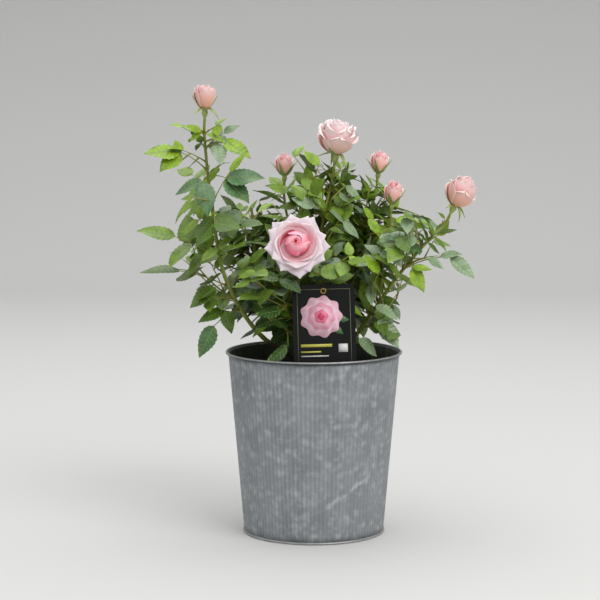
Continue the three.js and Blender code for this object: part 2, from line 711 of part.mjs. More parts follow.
function sepalSolid(kind, turn, height) {
  const lean = radians(kind.sepalAngle);
  const outwards = new THREE.Vector3(Math.cos(turn), Math.sin(turn), 0);
  const side = new THREE.Vector3(-Math.sin(turn), Math.cos(turn), 0);
  const way = outwards.clone().multiplyScalar(Math.sin(lean)).addScaledVector(UP, Math.cos(lean));
  const bow = outwards.clone().multiplyScalar(0.35 * kind.hip);
  const foot = new THREE.Vector3(0, 0, height).addScaledVector(outwards, 0.5 * kind.hip);
  const middle = foot.clone().addScaledVector(way, SEPAL_WIDEST * kind.sepal).add(bow);
  return leafletSolid({
    foot,
    tip: foot.clone().addScaledVector(way, kind.sepal).add(bow),
    left: middle.clone().addScaledVector(side, -SEPAL_HALF_WIDTH * kind.sepal),
    right: middle.clone().addScaledVector(side, SEPAL_HALF_WIDTH * kind.sepal),
    middle,
    lift: side.clone().cross(way).multiplyScalar(SEPAL_THICKNESS),
  });
}

function flowerSolid(flower) {
  const kind = FLOWER_KINDS[flower.kind];
  const hipTop = PEDICEL_LENGTH + 2.4 * kind.hip;
  const stalkAndHip = lathe([
    [0, 0],
    [CANE_TIP_RADIUS, 0],
    [CANE_TIP_RADIUS, PEDICEL_LENGTH],
    [kind.hip, PEDICEL_LENGTH + 0.9 * kind.hip],
    [0.8 * kind.hip, hipTop],
    [0, hipTop],
  ], HIP_SIDES);
  const parts = [stalkAndHip, ...kind.layers.map((layer) => layerSolid(layer, hipTop - 1))];
  for (let i = 0; i < SEPALS; i++) {
    parts.push(sepalSolid(kind, (2 * Math.PI * i) / SEPALS + 0.5, hipTop - 0.6 * kind.hip));
  }
  return fuse(parts);
}

// Plant label: a card with rounded corners and a hole, on a stake that goes down into the compost

// The outline is grown all round where it is to be cut out of the compost.
function labelOutline(grow) {
  const half = LABEL_WIDTH / 2;
  const shoulder = -LABEL_HEIGHT - LABEL_CORNER;
  const point = -LABEL_HEIGHT - STAKE_DEPTH;
  const stakeHalf = STAKE_WIDTH / 2 + grow;
  const outline = new THREE.Shape();
  outline.moveTo(-half + LABEL_CORNER, grow);
  outline.lineTo(half - LABEL_CORNER, grow);
  outline.absarc(half - LABEL_CORNER, -LABEL_CORNER, LABEL_CORNER + grow, Math.PI / 2, 0, true);
  outline.lineTo(half + grow, -LABEL_HEIGHT + LABEL_CORNER);
  outline.lineTo(stakeHalf, shoulder);
  outline.lineTo(stakeHalf, point + STAKE_WIDTH);
  outline.lineTo(grow, point - grow);
  outline.lineTo(-grow, point - grow);
  outline.lineTo(-stakeHalf, point + STAKE_WIDTH);
  outline.lineTo(-stakeHalf, shoulder);
  outline.lineTo(-half - grow, -LABEL_HEIGHT + LABEL_CORNER);
  outline.absarc(-half + LABEL_CORNER, -LABEL_CORNER, LABEL_CORNER + grow, Math.PI, Math.PI / 2, true);
  return outline;
}

function labelSolid(grow) {
  const outline = labelOutline(grow);
  if (grow === 0) {
    const hole = new THREE.Path();
    hole.absarc(0, -LABEL_HOLE_DROP, LABEL_HOLE_RADIUS, 0, 2 * Math.PI, false);
    outline.holes.push(hole);
  }
  const thickness = LABEL_THICKNESS + 2 * grow;
  const shape = { depth: thickness, bevelEnabled: false, curveSegments: 5 };
  const card = new THREE.ExtrudeGeometry(outline, shape);
  card.translate(0, 0, -thickness / 2);
  card.applyMatrix4(LABEL_PLACE);
  return solid(card);
}

// Materials

function material(color, roughness, metalness = 0) {
  return new THREE.MeshStandardMaterial({ color, roughness, metalness });
}
const ZINC = material(0x9aa0a3, 0.5, 0.6);
const COMPOST = material(0x2e241b, 0.95);
const BARK = material(0x4a5a2c, 0.7);
const LEAF = material(0x4f7a3a, 0.45);
const PINK_PETAL = material(0xeeb9c0, 0.6);
const LABEL_CARD = material(0x1d1f20, 0.35);

// Assembly

const rose = new THREE.Group();

function addNode(name, manifold, look) {
  const mesh = new THREE.Mesh(geometryOf(manifold), look);
  mesh.name = name;
  rose.add(mesh);
  return mesh;
}

addNode("pot", potSolid(), ZINC);
addNode("compost", soilSolid([labelSolid(CLEARANCE)]), COMPOST);
addNode("root_crown", rootCrownSolid(0), BARK);
addNode("plant_label", labelSolid(0), LABEL_CARD);

const rootCrownSpace = rootCrownSolid(CLEARANCE);

CANES.forEach((cane, owner) => {
  const curve = CANE_CURVES[owner];
  const gapShare = CLEARANCE / curve.getLength();
  const bare = placesAlong(curve, 0, cane.fork - gapShare, CANE_STEPS, caneRadiusAt);
  const bough = limb(bare, CANE_SIDES).subtract(rootCrownSpace);
  addNode(`cane_${cane.name}`, outerSkin(bough), BARK);
});

CANES.forEach((cane, owner) => {
  addNode(`foliage_${cane.name}`, foliageSolid(owner), LEAF);
});

FLOWERS.forEach((flower) => {
  const { place, along } = flowerFoot(flower);
  const mesh = addNode(flower.name, flowerSolid(flower), PINK_PETAL);
  mesh.quaternion.setFromUnitVectors(UP, along);
  mesh.position.copy(place.addScaledVector(along, CLEARANCE));
});

export default rose;
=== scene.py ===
"""A pink patio rose in a ribbed zinc pot, with a plant label in its compost.

Sizes and places are in millimetres, as in the solid model, and meshes are made in metres. +Z is up and
the front is -Y. The leaves grow by the same seeded rule as the solid masses do, and go on to finer twigs.
"""
import math

import bpy
import numpy as np
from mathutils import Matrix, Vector, noise


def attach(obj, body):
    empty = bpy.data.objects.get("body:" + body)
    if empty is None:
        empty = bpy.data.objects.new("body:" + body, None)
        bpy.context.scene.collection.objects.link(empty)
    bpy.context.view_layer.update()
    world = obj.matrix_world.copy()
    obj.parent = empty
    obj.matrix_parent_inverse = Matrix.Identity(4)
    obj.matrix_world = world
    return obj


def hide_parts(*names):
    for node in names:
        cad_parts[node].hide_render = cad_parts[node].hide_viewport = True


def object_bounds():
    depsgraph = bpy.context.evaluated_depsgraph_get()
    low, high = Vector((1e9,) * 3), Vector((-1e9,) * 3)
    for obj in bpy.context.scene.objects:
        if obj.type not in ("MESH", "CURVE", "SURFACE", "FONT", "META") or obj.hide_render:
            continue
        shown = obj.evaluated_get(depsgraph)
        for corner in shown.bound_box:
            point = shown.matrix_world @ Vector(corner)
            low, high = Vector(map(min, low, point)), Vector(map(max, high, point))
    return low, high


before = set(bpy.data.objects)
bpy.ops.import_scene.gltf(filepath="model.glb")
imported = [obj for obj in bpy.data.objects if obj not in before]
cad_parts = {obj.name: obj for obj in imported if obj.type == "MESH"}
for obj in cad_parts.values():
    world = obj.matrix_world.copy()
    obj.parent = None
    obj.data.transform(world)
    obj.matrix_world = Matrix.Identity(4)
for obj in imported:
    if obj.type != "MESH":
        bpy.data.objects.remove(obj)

MM = 0.001
solid_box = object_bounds()

# Pot and compost
POT_HEIGHT = 205
POT_TOP_RADIUS = 96.4
POT_FOOT_RADIUS = 78.8
SOLID_WALL = 1.2
SHEET = 0.7
RIM_BEAD_RADIUS = 1.9
RIM_ROLL_RADIUS = 1.5
FOOT_BEAD_RADIUS = 1.4
RIBS = 112
RIB_DEPTH = 0.7
RIB_STEPS = 6
WALL_FOOT = 2
WALL_TOP = 203
WALL_ROWS = 26
ROLL_OFFSET = 1.3
POT_SIDES = 160
# A dark sheet just inside the wall, which paints the shade inside the pot
SHADE_SHEET_DEPTH = 12
SHADE_SHEET_DROP = 3
SHADE_SHEET_GAP = 0.1
SHADE_SHEET_THICKNESS = 0.3
SCUFF_MIDDLE = (38, 59)
SCUFF_LENGTH = 70
SCUFF_WIDTH = 4.5
SCUFF_SLOPE = 0.63
SOIL_LEVEL = 184
SOIL_EDGE_DROP = 4
SOIL_DEPTH = 30
SOIL_RINGS = 30
SOIL_SIDES = 72
SOIL_LUMPS = [(1.6, 0.11), (0.9, 0.37)]
SOIL_LUMP_DROP = 0.6

# Woody parts. Lumps are given as (size, scale).
CROWN_FOOT_RADIUS = 14
CROWN_HEIGHT = 17
CROWN_CENTRE_Y = 4
CROWN_SIDES = 40
CROWN_LUMPS = [(0.16, 0.16), (0.06, 0.6)]
CANE_FOOT_CIRCLE = 10.5
CANE_ROOT_CIRCLE = 4.2
CANE_FOOT_RADIUS = 3.4
CANE_TIP_RADIUS = 1.5
CANE_FOOT_RISE = 9
LIMB_STEPS = 40
NECK = 12
BARK_RINGS = 44
BARK_SIDES = 20
SHOOT_RADII = (CANE_TIP_RADIUS, 1.3)
TWIG_RADII = (1.2, 0.7)
FINE_TWIG_RADII = (1.0, 0.6)
LEAF_STALK_RADII = [1.25, 0.85, 0.7, 0.62, 0.55, 0.5, 0.42]

# Leaves. Shares are of a whole leaf's length, from its stalk's foot to its tip.
LOWER_PAIR_SHARE = 0.2
UPPER_PAIR_SHARE = 0.42
END_SHARE = 0.61
END_STRETCH = 1.04
LOWER_PAIR_SIZE = 0.35
UPPER_PAIR_SIZE = 0.39
PAIR_SWEEP = 0.42
PAIR_SAG = 0.35
FACE_UP = 0.7
FACE_OUT = 0.7
FACE_ROLL = 0.9
LEAF_ARCH = 0.13
LEAF_SAG = 0.12
LEAFLET_SLIMNESS = 0.76
LEAFLET_WIDEST = 0.45
LEAFLET_FOLD = 0.07
LEAFLET_DROOP = 0.06
LEAFLET_SPACING = 12
LEAF_TURN = math.radians(144)
LEAF_RISE = (15, 45)
END_LEAF_RISE = 70
LEAF_TRIES = 4
TRY_TURN = 0.9
TRY_SHRINK = 0.1

# Twigs, and the seeds that each stretch draws its numbers from
STEM_STEP = 16
STEM_END_SIZE = 0.6
TWIG_END_SIZE = 0.8
TWIG_REACH = (42, 78)
TWIG_RISE = (25, 50)
TWIG_LIFT = 0.35
TWIG_STEPS = 2
TWIG_SPAN = 0.75
TWIG_OFFSET = 0.6
TWIG_TRIES = 8
TIP_SEEDS = 10
STEM_SEEDS = 100
TWIG_SEEDS = 1000
TWIG_LEAF_SEEDS = 5000
NEXT_TWIG = 100
NEXT_STRETCH = 40

# The finer growth that only this script adds, by the same rule
FINE_SPACING = 7
FINE_SIZE = 0.86
FINE_TWIG_STEPS = 3
FINE_STRETCH = 0.8
FINE_SEEDS = 90000
FINE_TURN = math.radians(70)
TWIG_STEP = 2.4

# Leaflets are drawn larger than the rule spaces them, and turned on their midribs towards the light
LEAFLET_GROWTH = 1.2
LIGHT_WAY = (0.1, -0.6, 0.8)
TURN_TO_LIGHT = 0.9

# Seen from the front, no leaf hangs before the label, apart from one corner of it. Leaves that aren't listed
# one by one and don't grow at a tip also keep clear of blooms and upper stalks there, and of these stretches
# of the upright plane at y = 0: left, right, low, high
EYE = (-15.6, -2228, 509)
EYE_DROP = 6.33
OPEN_STRETCHES = [(-300, -137, 150, 293), (-137, -104, 279, 294), (-300, -131, 150, 256),
                  (-300, -155, 362, 406), (101, 300, 150, 273), (154, 300, 322, 360), (97, 300, 365, 470),
                  (-100, -58, 375, 414), (-141, -123, 432, 455), (118, 300, 273, 322)]
BLOOM_MARGIN = 0.85
STALK_MARGIN = 5
STALK_STRETCH = 34

# Leaves listed one by one where they show plainly: the cane that carries each, the height at which it leaves
# the cane, the end of its stalk, its tone, and the tips of the leaflets that spread from there
PLACED_LEAVES = [
    ("left", 405, (-147, -24, 428), "lime", [(-186, -30, 431), (-169, -40, 409), (-153, -16, 442)]),
    ("left", 433, (-100, -24, 442), "lime", [(-69, -34, 424), (-118, -36, 449)]),
    ("left", 430, (-107, -30, 438), "silvery", [(-101, -42, 416)]),
    ("left", 396, (-97, -44, 401), "cool", [(-55, -50, 404), (-71, -56, 375)]),
    ("left", 402, (-121, -52, 397), "cool", [(-115, -62, 361), (-154, -44, 386)]),
    ("left", 440, (-124, -20, 452), "lime", [(-142, -26, 457), (-137, -24, 441)]),
    ("left", 275, (-108, -38, 280), "mid", [(-137, -46, 260)]),
    ("left", 250, (-110, -40, 238), "cool", [(-128, -46, 204)]),
    ("left", 250, (-99, -38, 255), "mid", [(-128, -44, 244), (-90, -44, 230)]),
    ("rear_right", 338, (91, 0, 352), "lime", [(117, -8, 351)]),
    ("rear_right", 318, (74, -34, 339), "silvery", [(98, -44, 306)]),
    ("right", 322, (110, -30, 334), "silvery", [(83, -40, 341)]),
    ("right", 302, (139, -30, 314), "silvery", [(162, -34, 319)]),
    ("right", 298, (150, -30, 313), "silvery", [(178, -36, 291)]),
    ("right", 294, (125, -38, 312), "silvery", [(143, -42, 302)]),
    ("right", 290, (107, -46, 303), "lime", [(121, -52, 277), (129, -48, 301)]),
    ("right", 252, (67, -54, 262), "silvery", [(92, -60, 250)]),
    ("right", 246, (70, -54, 246), "silvery", [(93, -58, 216)]),
    ("right", 222, (49, -52, 225), "silvery", [(70, -54, 207)]),
    ("rear_right", 345, (62, 50, 372), "fresh", [(42, 44, 384), (58, 40, 394), (78, 44, 386)]),
    ("rear_right", 330, (70, 40, 352), "mid", [(50, 34, 362), (66, 30, 372), (92, 36, 366)]),
    ("middle", 380, (-6, 14, 392), "lime", [(-24, 10, 400), (-8, 8, 412), (8, 8, 398)]),
    ("middle", 352, (-18, 24, 366), "fresh", [(-40, 18, 366), (-30, 16, 384), (-10, 14, 380)]),
    ("rear_left", 225, (-38, 10, 236), "deep", [(-62, 4, 228), (-42, 0, 212), (-24, 2, 226)]),
    ("rear_left", 236, (-50, 14, 250), "mid", [(-74, 8, 250), (-60, 4, 232), (-36, 2, 244)]),
    ("front", 222, (-28, -16, 228), "deep", [(-50, -24, 219), (-34, -28, 206)]),
]

# How far leaves may pass the solid model's box, and how clear they keep of limbs, label, pot and the walls
# between masses
BOX_MARGIN = 15
LIMB_MARGIN = 2.2
LABEL_MARGIN = 4
POT_MARGIN = 3
SPACE_MARGIN = 0.8

# Plant label
LABEL_WIDTH = 68
LABEL_HEIGHT = 100
LABEL_THICKNESS = 0.9
LABEL_TOP = (9.5, -64, 286)
LABEL_LEAN = math.radians(9)
LABEL_TURN = math.radians(1.6)
LABEL_HOLE_DROP = 7
LABEL_FRONT = LABEL_THICKNESS / 2
STAKE_DEPTH = 36
COVERED_CORNER = (-14, -20)
INLAY_LIFT = 0.02
INLAY_THICKNESS = 0.12
FRAME_INSET = 5
FRAME_THICKNESS = 0.5
FRAME_LOW = -92
EYELET_RADIUS = 2.6
EYELET_STEPS = 32
EYELET_SIDES = 8
SCALLOP_DEPTH = 0.13

FLOWERS = {
    "open_rose": dict(kind="open", centre=(-19, -84, 331), facing=(-0.02, -0.93, 0.36)),
    "opening_rose": dict(kind="cup", centre=(26, 8, 444), facing=(0.1, -0.14, 0.98)),
    "tall_bud": dict(kind="bud", centre=(-120, -13, 487), facing=(0.04, -0.06, 1)),
    "right_bud": dict(kind="globe", centre=(162, -12, 382), facing=(0.42, -0.12, 0.9)),
    "small_bud_left": dict(kind="small", centre=(-33, 34, 411), facing=(0.02, -0.06, 1)),
    "small_bud_high": dict(kind="small", centre=(75, 53, 413), facing=(0.12, -0.05, 1)),
    "small_bud_low": dict(kind="small", centre=(89, 19, 380), facing=(0.1, -0.08, 1)),
}

# Each cane, as in the solid model, with how young its leaves look from 0 to 1. A tip with no tone keeps its
# leaf's place in the growth and isn't drawn, because a listed leaf shows there.
CANES = [
    dict(name="left", foot_angle=182, fork=0.17, centre=(-124, -24, 325), reach=(86, 78, 152), seed=21,
         shows=0.1, bends=[(-58, -11, 222), (-97, -19, 285), (-113, -19, 368)], flower="tall_bud",
         tips=[(0.02, (-127, -40, 204), None), (0.16, (-136, -47, 258), None),
               (0.27, (-182, -36, 300), "mid"), (0.4, (-184, -30, 343), "fresh"),
               (0.5, (-62, -48, 352), "mid"), (0.58, (-156, -36, 382), None),
               (0.62, (-113, -70, 362), None), (0.66, (-57, -26, 402), None),
               (0.72, (-185, -14, 431), None), (0.8, (-71, -26, 424), None),
               (0.86, (-146, -2, 456), "lime")],
         phase=60, internode=56, twigs=2, fine_twigs=2, fine_turns=1, leaf_length=82, young=0.14),
    dict(name="front", foot_angle=258, fork=0.22, centre=(-18, -74, 262), reach=(100, 72, 84), seed=34,
         bends=[(-9, -28, 232), (-16, -46, 280)], flower="open_rose",
         tips=[(0.5, (-76, -80, 287), "silvery"), (0.66, (-34, -112, 266), "cool"),
               (0.42, (46, -70, 292), "deep"), (0.2, (-58, -74, 244), "deep")],
         phase=150, internode=16, twigs=3, fine_twigs=22, leaf_length=78, young=0),
    dict(name="middle", foot_angle=None, fork=0.24, centre=(-10, 20, 345), reach=(84, 68, 104), seed=47,
         shows=0.62, bends=[(3, 9, 262), (9, 6, 345)], flower="opening_rose",
         shoots=[(0.3, (-26, 28, 340), "small_bud_left")],
         tips=[(0.82, (45, -8, 402), "lime"), (0.76, (-18, -6, 402), "lime"), (0.6, (46, -22, 378), "fresh"),
               (0.5, (-58, 6, 382), "fresh")],
         phase=66, internode=32, twigs=3, fine_twigs=24, leaf_length=76, young=0.14),
    dict(name="right", foot_angle=330, fork=0.22, centre=(118, -28, 285), reach=(82, 74, 100), seed=55,
         shows=0.3, bends=[(43, -2, 218), (93, -9, 289), (130, -11, 333)], flower="right_bud",
         tips=[(0.06, (70, -50, 212), None), (0.12, (95, -42, 215), None), (0.22, (93, -50, 251), None),
               (0.42, (180, -30, 291), None), (0.46, (119, -52, 279), None), (0.7, (86, -46, 336), "cool"),
               (0.72, (152, -32, 344), "fresh")],
         phase=20, internode=40, twigs=2, fine_twigs=20, leaf_length=76, young=0.08),
    dict(name="rear_right", foot_angle=25, fork=0.26, centre=(80, 44, 325), reach=(76, 76, 94), seed=68,
         bends=[(30, 20, 250), (48, 32, 319)], flower="small_bud_high",
         shoots=[(0.42, (80, 28, 336), "small_bud_low")],
         tips=[(0.78, (54, 44, 396), "fresh"), (0.6, (118, 4, 346), "fresh"), (0.52, (48, 8, 370), "mid")],
         phase=12, internode=32, twigs=3, fine_twigs=26, leaf_length=78, young=0.16),
    dict(name="rear_left", foot_angle=132, fork=0.26, centre=(-72, 66, 292), reach=(86, 78, 104), seed=79,
         bends=[(-30, 32, 234), (-62, 62, 300)], flower=None, tip=(-72, 74, 362), tips=[],
         phase=110, internode=16, twigs=4, fine_twigs=20, leaf_length=84, young=0),
    dict(name="rear", foot_angle=78, fork=0.26, centre=(22, 98, 280), reach=(86, 76, 98), seed=83,
         bends=[(10, 40, 232), (24, 76, 290)], flower=None, tip=(34, 90, 346), tips=[],
         phase=90, internode=16, twigs=4, fine_twigs=20, leaf_length=84, young=0),
]

# How each kind of flower is built: how far its middle is from its stalk's foot, the sphere that leaves
# keep out of, how much flatter that sphere is behind, its hip, its sepals' length and how far each one
# bends away from the petals, how far one outer petal's end is flicked out, how late petals curl, how much
# their ends ruffle, and its petals. A petal's stops go from the outermost petal, at 0, to the innermost,
# at 1, and give its length and half width, its angles from the flower's axis at foot and end, how far its
# end rolls back, how far it wraps, and its point.
FLOWER_KINDS = {
    "open": dict(height=22, space=40, flat=1.7, hip=4.2, sepal=18, bends=[60] * 5, flick=0, curl=1.1,
                 ruffle=0.03, petals=40, stops=[
                     (0.0, 37, 16, 68, 94, 42, 0.3, 1.0), (0.3, 34, 16, 58, 84, 46, 0.35, 0.9),
                     (0.33, 30, 17, 60, 62, 60, 0.6, 0.5), (0.42, 29, 17, 70, 34, 60, 0.9, 0.3),
                     (0.45, 27, 17, 84, 10, 52, 1, 0.2), (0.56, 27, 18, 86, 2, 44, 1, 0.1),
                     (0.58, 32, 17, 76, -74, 0, 1, 0.1), (0.8, 29, 13, 60, -70, 0, 1, 0.1),
                     (1.0, 25, 7, 34, -66, 0, 1, 0)]),
    "cup": dict(height=32, space=30, flat=1, hip=4.2, sepal=21, bends=[20, 150, 95, 30, 130], flick=50,
                curl=0.7, ruffle=0.09, petals=30, stops=[
                    (0.0, 33, 19, 84, -2, 40, 1, 0.7), (0.15, 36, 20, 80, -6, 46, 1, 0.6),
                    (0.35, 38, 18, 64, -12, 40, 1, 0.5), (0.6, 38, 14, 44, -16, 24, 1, 0.3),
                    (1.0, 36, 7, 10, -6, 0, 1, 0)]),
    "globe": dict(height=27, space=24, flat=1, hip=3.8, sepal=18, bends=[120, 40, 14, 90, 150], flick=40,
                  curl=0.7, ruffle=0.05, petals=20, stops=[
                      (0.0, 26, 17, 82, -4, 44, 1, 0.6), (0.12, 29, 17, 80, -8, 44, 1, 0.5),
                      (0.3, 34, 16, 68, -24, 20, 1, 0.4), (0.6, 35, 13, 46, -26, 14, 1, 0.3),
                      (1.0, 33, 7, 12, -8, 0, 1, 0)]),
    "bud": dict(height=24, space=20, flat=1, hip=3.4, sepal=21, bends=[30, 10, 30, 120, 140], flick=0,
                curl=0.8, ruffle=0.04, petals=16, stops=[
                    (0.0, 26, 11.5, 58, -10, 34, 1, 0.4), (0.3, 27, 11.5, 48, -12, 18, 1, 0.2),
                    (0.6, 27, 9, 34, -14, 8, 1, 0.1), (1.0, 26, 5, 10, -6, 0, 1, 0)]),
    "small": dict(height=22, space=19, flat=1, hip=3, sepal=20, bends=[76, 52, 79, 62, 72], flick=0, curl=0.7,
                  ruffle=0.02, petals=10, stops=[
                      (0.0, 22, 10, 62, -16, 12, 1, 0.7), (0.5, 25, 9, 44, -24, 0, 1, 0.5),
                      (1.0, 26, 4, 8, -6, 0, 1, 0.3)]),
}
PEDICEL_LENGTH = 4
SEPALS = 5
PETAL_TURN = math.radians(137.5)
PETAL_THICKNESS = 0.45
PETAL_ROWS = 12
PETAL_COLUMNS = 9

UP = np.array((0.0, 0.0, 1.0))


def vec(*numbers):
    return np.array(numbers, float)


def unit(way):
    return way / np.linalg.norm(way)


def lerp(low, high, share):
    return low + (high - low) * share


def nearest(number):
    return math.floor(number + 0.5)


# Meshes

class Parts:
    """What a piece's mesh is made of, gathered before it is made. Notes are numbers for each vertex."""

    def __init__(self):
        self.places = []
        self.faces = []
        self.notes = {}
        self.count = 0

    def add(self, places, faces, **notes):
        places = np.asarray(places, float).reshape(-1, 3)
        for group in faces:
            self.faces.append(np.asarray(group, int) + self.count)
        for name, values in notes.items():
            self.notes.setdefault(name, []).append(np.broadcast_to(values, len(places)))
        self.places.append(places)
        self.count += len(places)

    def mesh(self, name):
        mesh = bpy.data.meshes.new(name)
        faces = [face for group in self.faces for face in group.tolist()]
        mesh.from_pydata((np.concatenate(self.places) * MM).tolist(), [], faces)
        for note, values in self.notes.items():
            attribute = mesh.attributes.new(note, "FLOAT", "POINT")
            attribute.data.foreach_set("value", np.concatenate(values).astype(np.float32))
        mesh.shade_smooth()
        return mesh


def piece(name, shape, look, replaces=()):
    """A finished piece of the plant: it rides on the root body and takes the given material."""
    mesh = shape.mesh(name) if isinstance(shape, Parts) else shape
    mesh.materials.clear()
    mesh.materials.append(look)
    made = bpy.data.objects.new(name, mesh)
    bpy.context.collection.objects.link(made)
    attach(made, "root")
    if replaces:
        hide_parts(*replaces)
    return made


def grid_faces(rows, columns, around=False):
    """The four-sided faces of a grid of vertices, which closes on itself where it goes around."""
    steps = columns if around else columns - 1
    row, column = np.meshgrid(np.arange(rows - 1), np.arange(steps), indexing="ij")
    a = (row * columns + column).ravel()
    b = (row * columns + (column + 1) % columns).ravel()
    return np.stack([a, b, b + columns, a + columns], axis=1)


def capped_faces(rows, sides):
    """The faces of a grid that goes around, with a fan from each end row to one of two places after it."""
    count = rows * sides
    side = np.arange(sides)
    after = (side + 1) % sides
    first = np.stack([np.full(sides, count), after, side], axis=1)
    last = np.stack([np.full(sides, count + 1), count - sides + side, count - sides + after], axis=1)
    return [grid_faces(rows, sides, True), first, last]


def looped_faces(rows, sides):
    """The faces of a grid that closes on itself both ways, like a tyre."""
    side = np.arange(sides)
    after = (side + 1) % sides
    end = (rows - 1) * sides
    return [grid_faces(rows, sides, True), np.stack([end + side, end + after, after, side], axis=1)]


def level_rings(outline, sides):
    """A ring of vertices round +Z for each [radius, height] of an outline."""
    turn = np.linspace(0, 2 * math.pi, sides, endpoint=False)
    return [np.stack([radius * np.cos(turn), radius * np.sin(turn), np.full(sides, height)], axis=1)
            for radius, height in outline]


def turned(profile, sides):
    """A closed shape turned round +Z, from [radius, height] places that start and end on the axis."""
    rings = level_rings(profile[1:-1], sides)
    ends = np.array([(0, 0, profile[0][1]), (0, 0, profile[-1][1])], float)
    return np.concatenate(rings + [ends]), capped_faces(len(rings), sides)


def hoop(outline, sides):
    """A ring turned round +Z from a closed outline of [radius, height] places that turns anticlockwise."""
    return np.concatenate(level_rings(outline, sides)), looped_faces(len(outline), sides)


def rings_of(centres, radii, sides):
    """Rings of vertices round a line of centres."""
    centres = np.asarray(centres, float)
    across = vec(0.94, 0.3, 0.16)
    ways = np.gradient(centres, axis=0)
    turn = np.linspace(0, 2 * math.pi, sides, endpoint=False)[:, None]
    rings = []
    for centre, way, radius in zip(centres, ways, radii):
        along = unit(way)
        across = unit(across - along * across.dot(along))
        other = np.cross(along, across)
        rings.append(centre + radius * (np.cos(turn) * across + np.sin(turn) * other))
    return np.array(rings)


def tube(centres, radii, sides):
    """A round limb with closed ends."""
    rings = rings_of(centres, radii, sides)
    ends = np.array([centres[0], centres[-1]], float)
    return np.concatenate([rings.reshape(-1, 3), ends]), capped_faces(len(rings), sides)


def lumpy(spot, lumps, start):
    """A start with the noise of each lump of (size, scale) added to it."""
    return sum((size * noise.noise(spot * scale) for size, scale in lumps), start)


# Node trees

class Nodes:
    """A short way to write a node tree."""

    def __init__(self, tree):
        self.tree = tree

    def put(self, socket, value):
        if isinstance(value, bpy.types.NodeSocket):
            self.tree.links.new(value, socket)
        else:
            socket.default_value = value

    def add(self, kind, values=None, **settings):
        node = self.tree.nodes.new(kind)
        for name, setting in settings.items():
            setattr(node, name, setting)
        for socket, value in (values or {}).items():
            self.put(node.inputs[socket], value)
        return node

    def maths(self, operation, *values):
        node = self.add("ShaderNodeMath", operation=operation)
        for socket, value in zip(node.inputs, values):
            self.put(socket, value)
        return node.outputs[0]

    def split(self, vector):
        return self.add("ShaderNodeSeparateXYZ", {"Vector": vector}).outputs

    def note(self, name):
        return self.add("ShaderNodeAttribute", attribute_name=name).outputs["Fac"]

    def ramp(self, factor, stops):
        """A colour for each share of the factor, from stops of (share, colour)."""
        node = self.add("ShaderNodeValToRGB", {"Fac": factor})
        band = node.color_ramp
        while len(band.elements) < len(stops):
            band.elements.new(0.5)
        for element, (share, colour) in zip(band.elements, stops):
            element.position = share
            element.color = (*colour, 1)
        return node.outputs["Color"]

    def noise(self, vector, scale, detail=3.0, roughness=0.55):
        values = {"Vector": vector, "Scale": scale, "Detail": detail, "Roughness": roughness}
        return self.add("ShaderNodeTexNoise", values).outputs["Fac"]

    def stretched(self, vector, scale):
        return self.add("ShaderNodeMapping", {"Vector": vector, "Scale": scale}).outputs["Vector"]

    def rise(self, value, low, high, most=1.0):
        """Goes from 0 to most as the value goes from low to high."""
        values = {"Value": value, "From Min": low, "From Max": high, "To Max": most}
        return self.add("ShaderNodeMapRange", values).outputs["Result"]

    def mixed(self, factor, first, second):
        node = self.add("ShaderNodeMix", data_type="RGBA")
        self.put(node.inputs["Factor"], factor)
        for name, value in (("A", first), ("B", second)):
            socket = [s for s in node.inputs if s.name == name and s.type == "RGBA"][0]
            self.put(socket, (*value, 1) if isinstance(value, tuple) else value)
        return [s for s in node.outputs if s.type == "RGBA"][0]


def material(name, finish, **constants):
    """A material whose finish function gives its colour, and wires the rest of its shader."""
    made = bpy.data.materials.new(name)
    made.use_nodes = True
    nodes = Nodes(made.node_tree)
    shader = made.node_tree.nodes["Principled BSDF"]
    for socket, value in constants.items():
        shader.inputs[socket.replace("_", " ").title().replace("Ior", "IOR")].default_value = value
    place = nodes.add("ShaderNodeTexCoord").outputs["Object"]
    nodes.put(shader.inputs["Base Color"], finish(nodes, shader, place))
    made.diffuse_color = (*shader.inputs["Base Color"].default_value[:3], 1)
    return made


def relief(nodes, shader, height, strength, distance):
    bump = nodes.add("ShaderNodeBump", {"Height": height, "Strength": strength, "Distance": distance})
    nodes.put(shader.inputs["Normal"], bump.outputs["Normal"])


def new_tree(name, sizes):
    """An empty Geometry Nodes tree with a named input for each size."""
    tree = bpy.data.node_groups.new(name, "GeometryNodeTree")
    for direction in ("OUTPUT", "INPUT"):
        tree.interface.new_socket("Geometry", in_out=direction, socket_type="NodeSocketGeometry")
    for label, value in sizes.items():
        kind = "NodeSocketInt" if isinstance(value, int) else "NodeSocketFloat"
        tree.interface.new_socket(label, in_out="INPUT", socket_type=kind)
    nodes = Nodes(tree)
    return nodes, nodes.add("NodeGroupInput").outputs


def close_tree(nodes, geometry, look):
    realized = nodes.add("GeometryNodeRealizeInstances", {"Geometry": geometry}).outputs[0]
    painted = nodes.add("GeometryNodeSetMaterial", {"Geometry": realized, "Material": look}).outputs[0]
    nodes.add("NodeGroupOutput", {"Geometry": painted})
    return nodes.tree


def grown_by(tree, mesh, sizes):
    """The plain mesh that a tree makes from a mesh, with the tree's inputs set to the sizes."""
    base = bpy.data.objects.new(tree.name, mesh)
    bpy.context.collection.objects.link(base)
    modifier = base.modifiers.new(tree.name, "NODES")
    modifier.node_group = tree
    for item in tree.interface.items_tree:
        if item.in_out == "INPUT" and item.name in sizes:
            modifier[item.identifier] = sizes[item.name]
    graph = bpy.context.evaluated_depsgraph_get()
    made = bpy.data.meshes.new_from_object(base.evaluated_get(graph), depsgraph=graph)
    base.modifiers.remove(modifier)
    bpy.data.objects.remove(base)
    return made


# Finishes

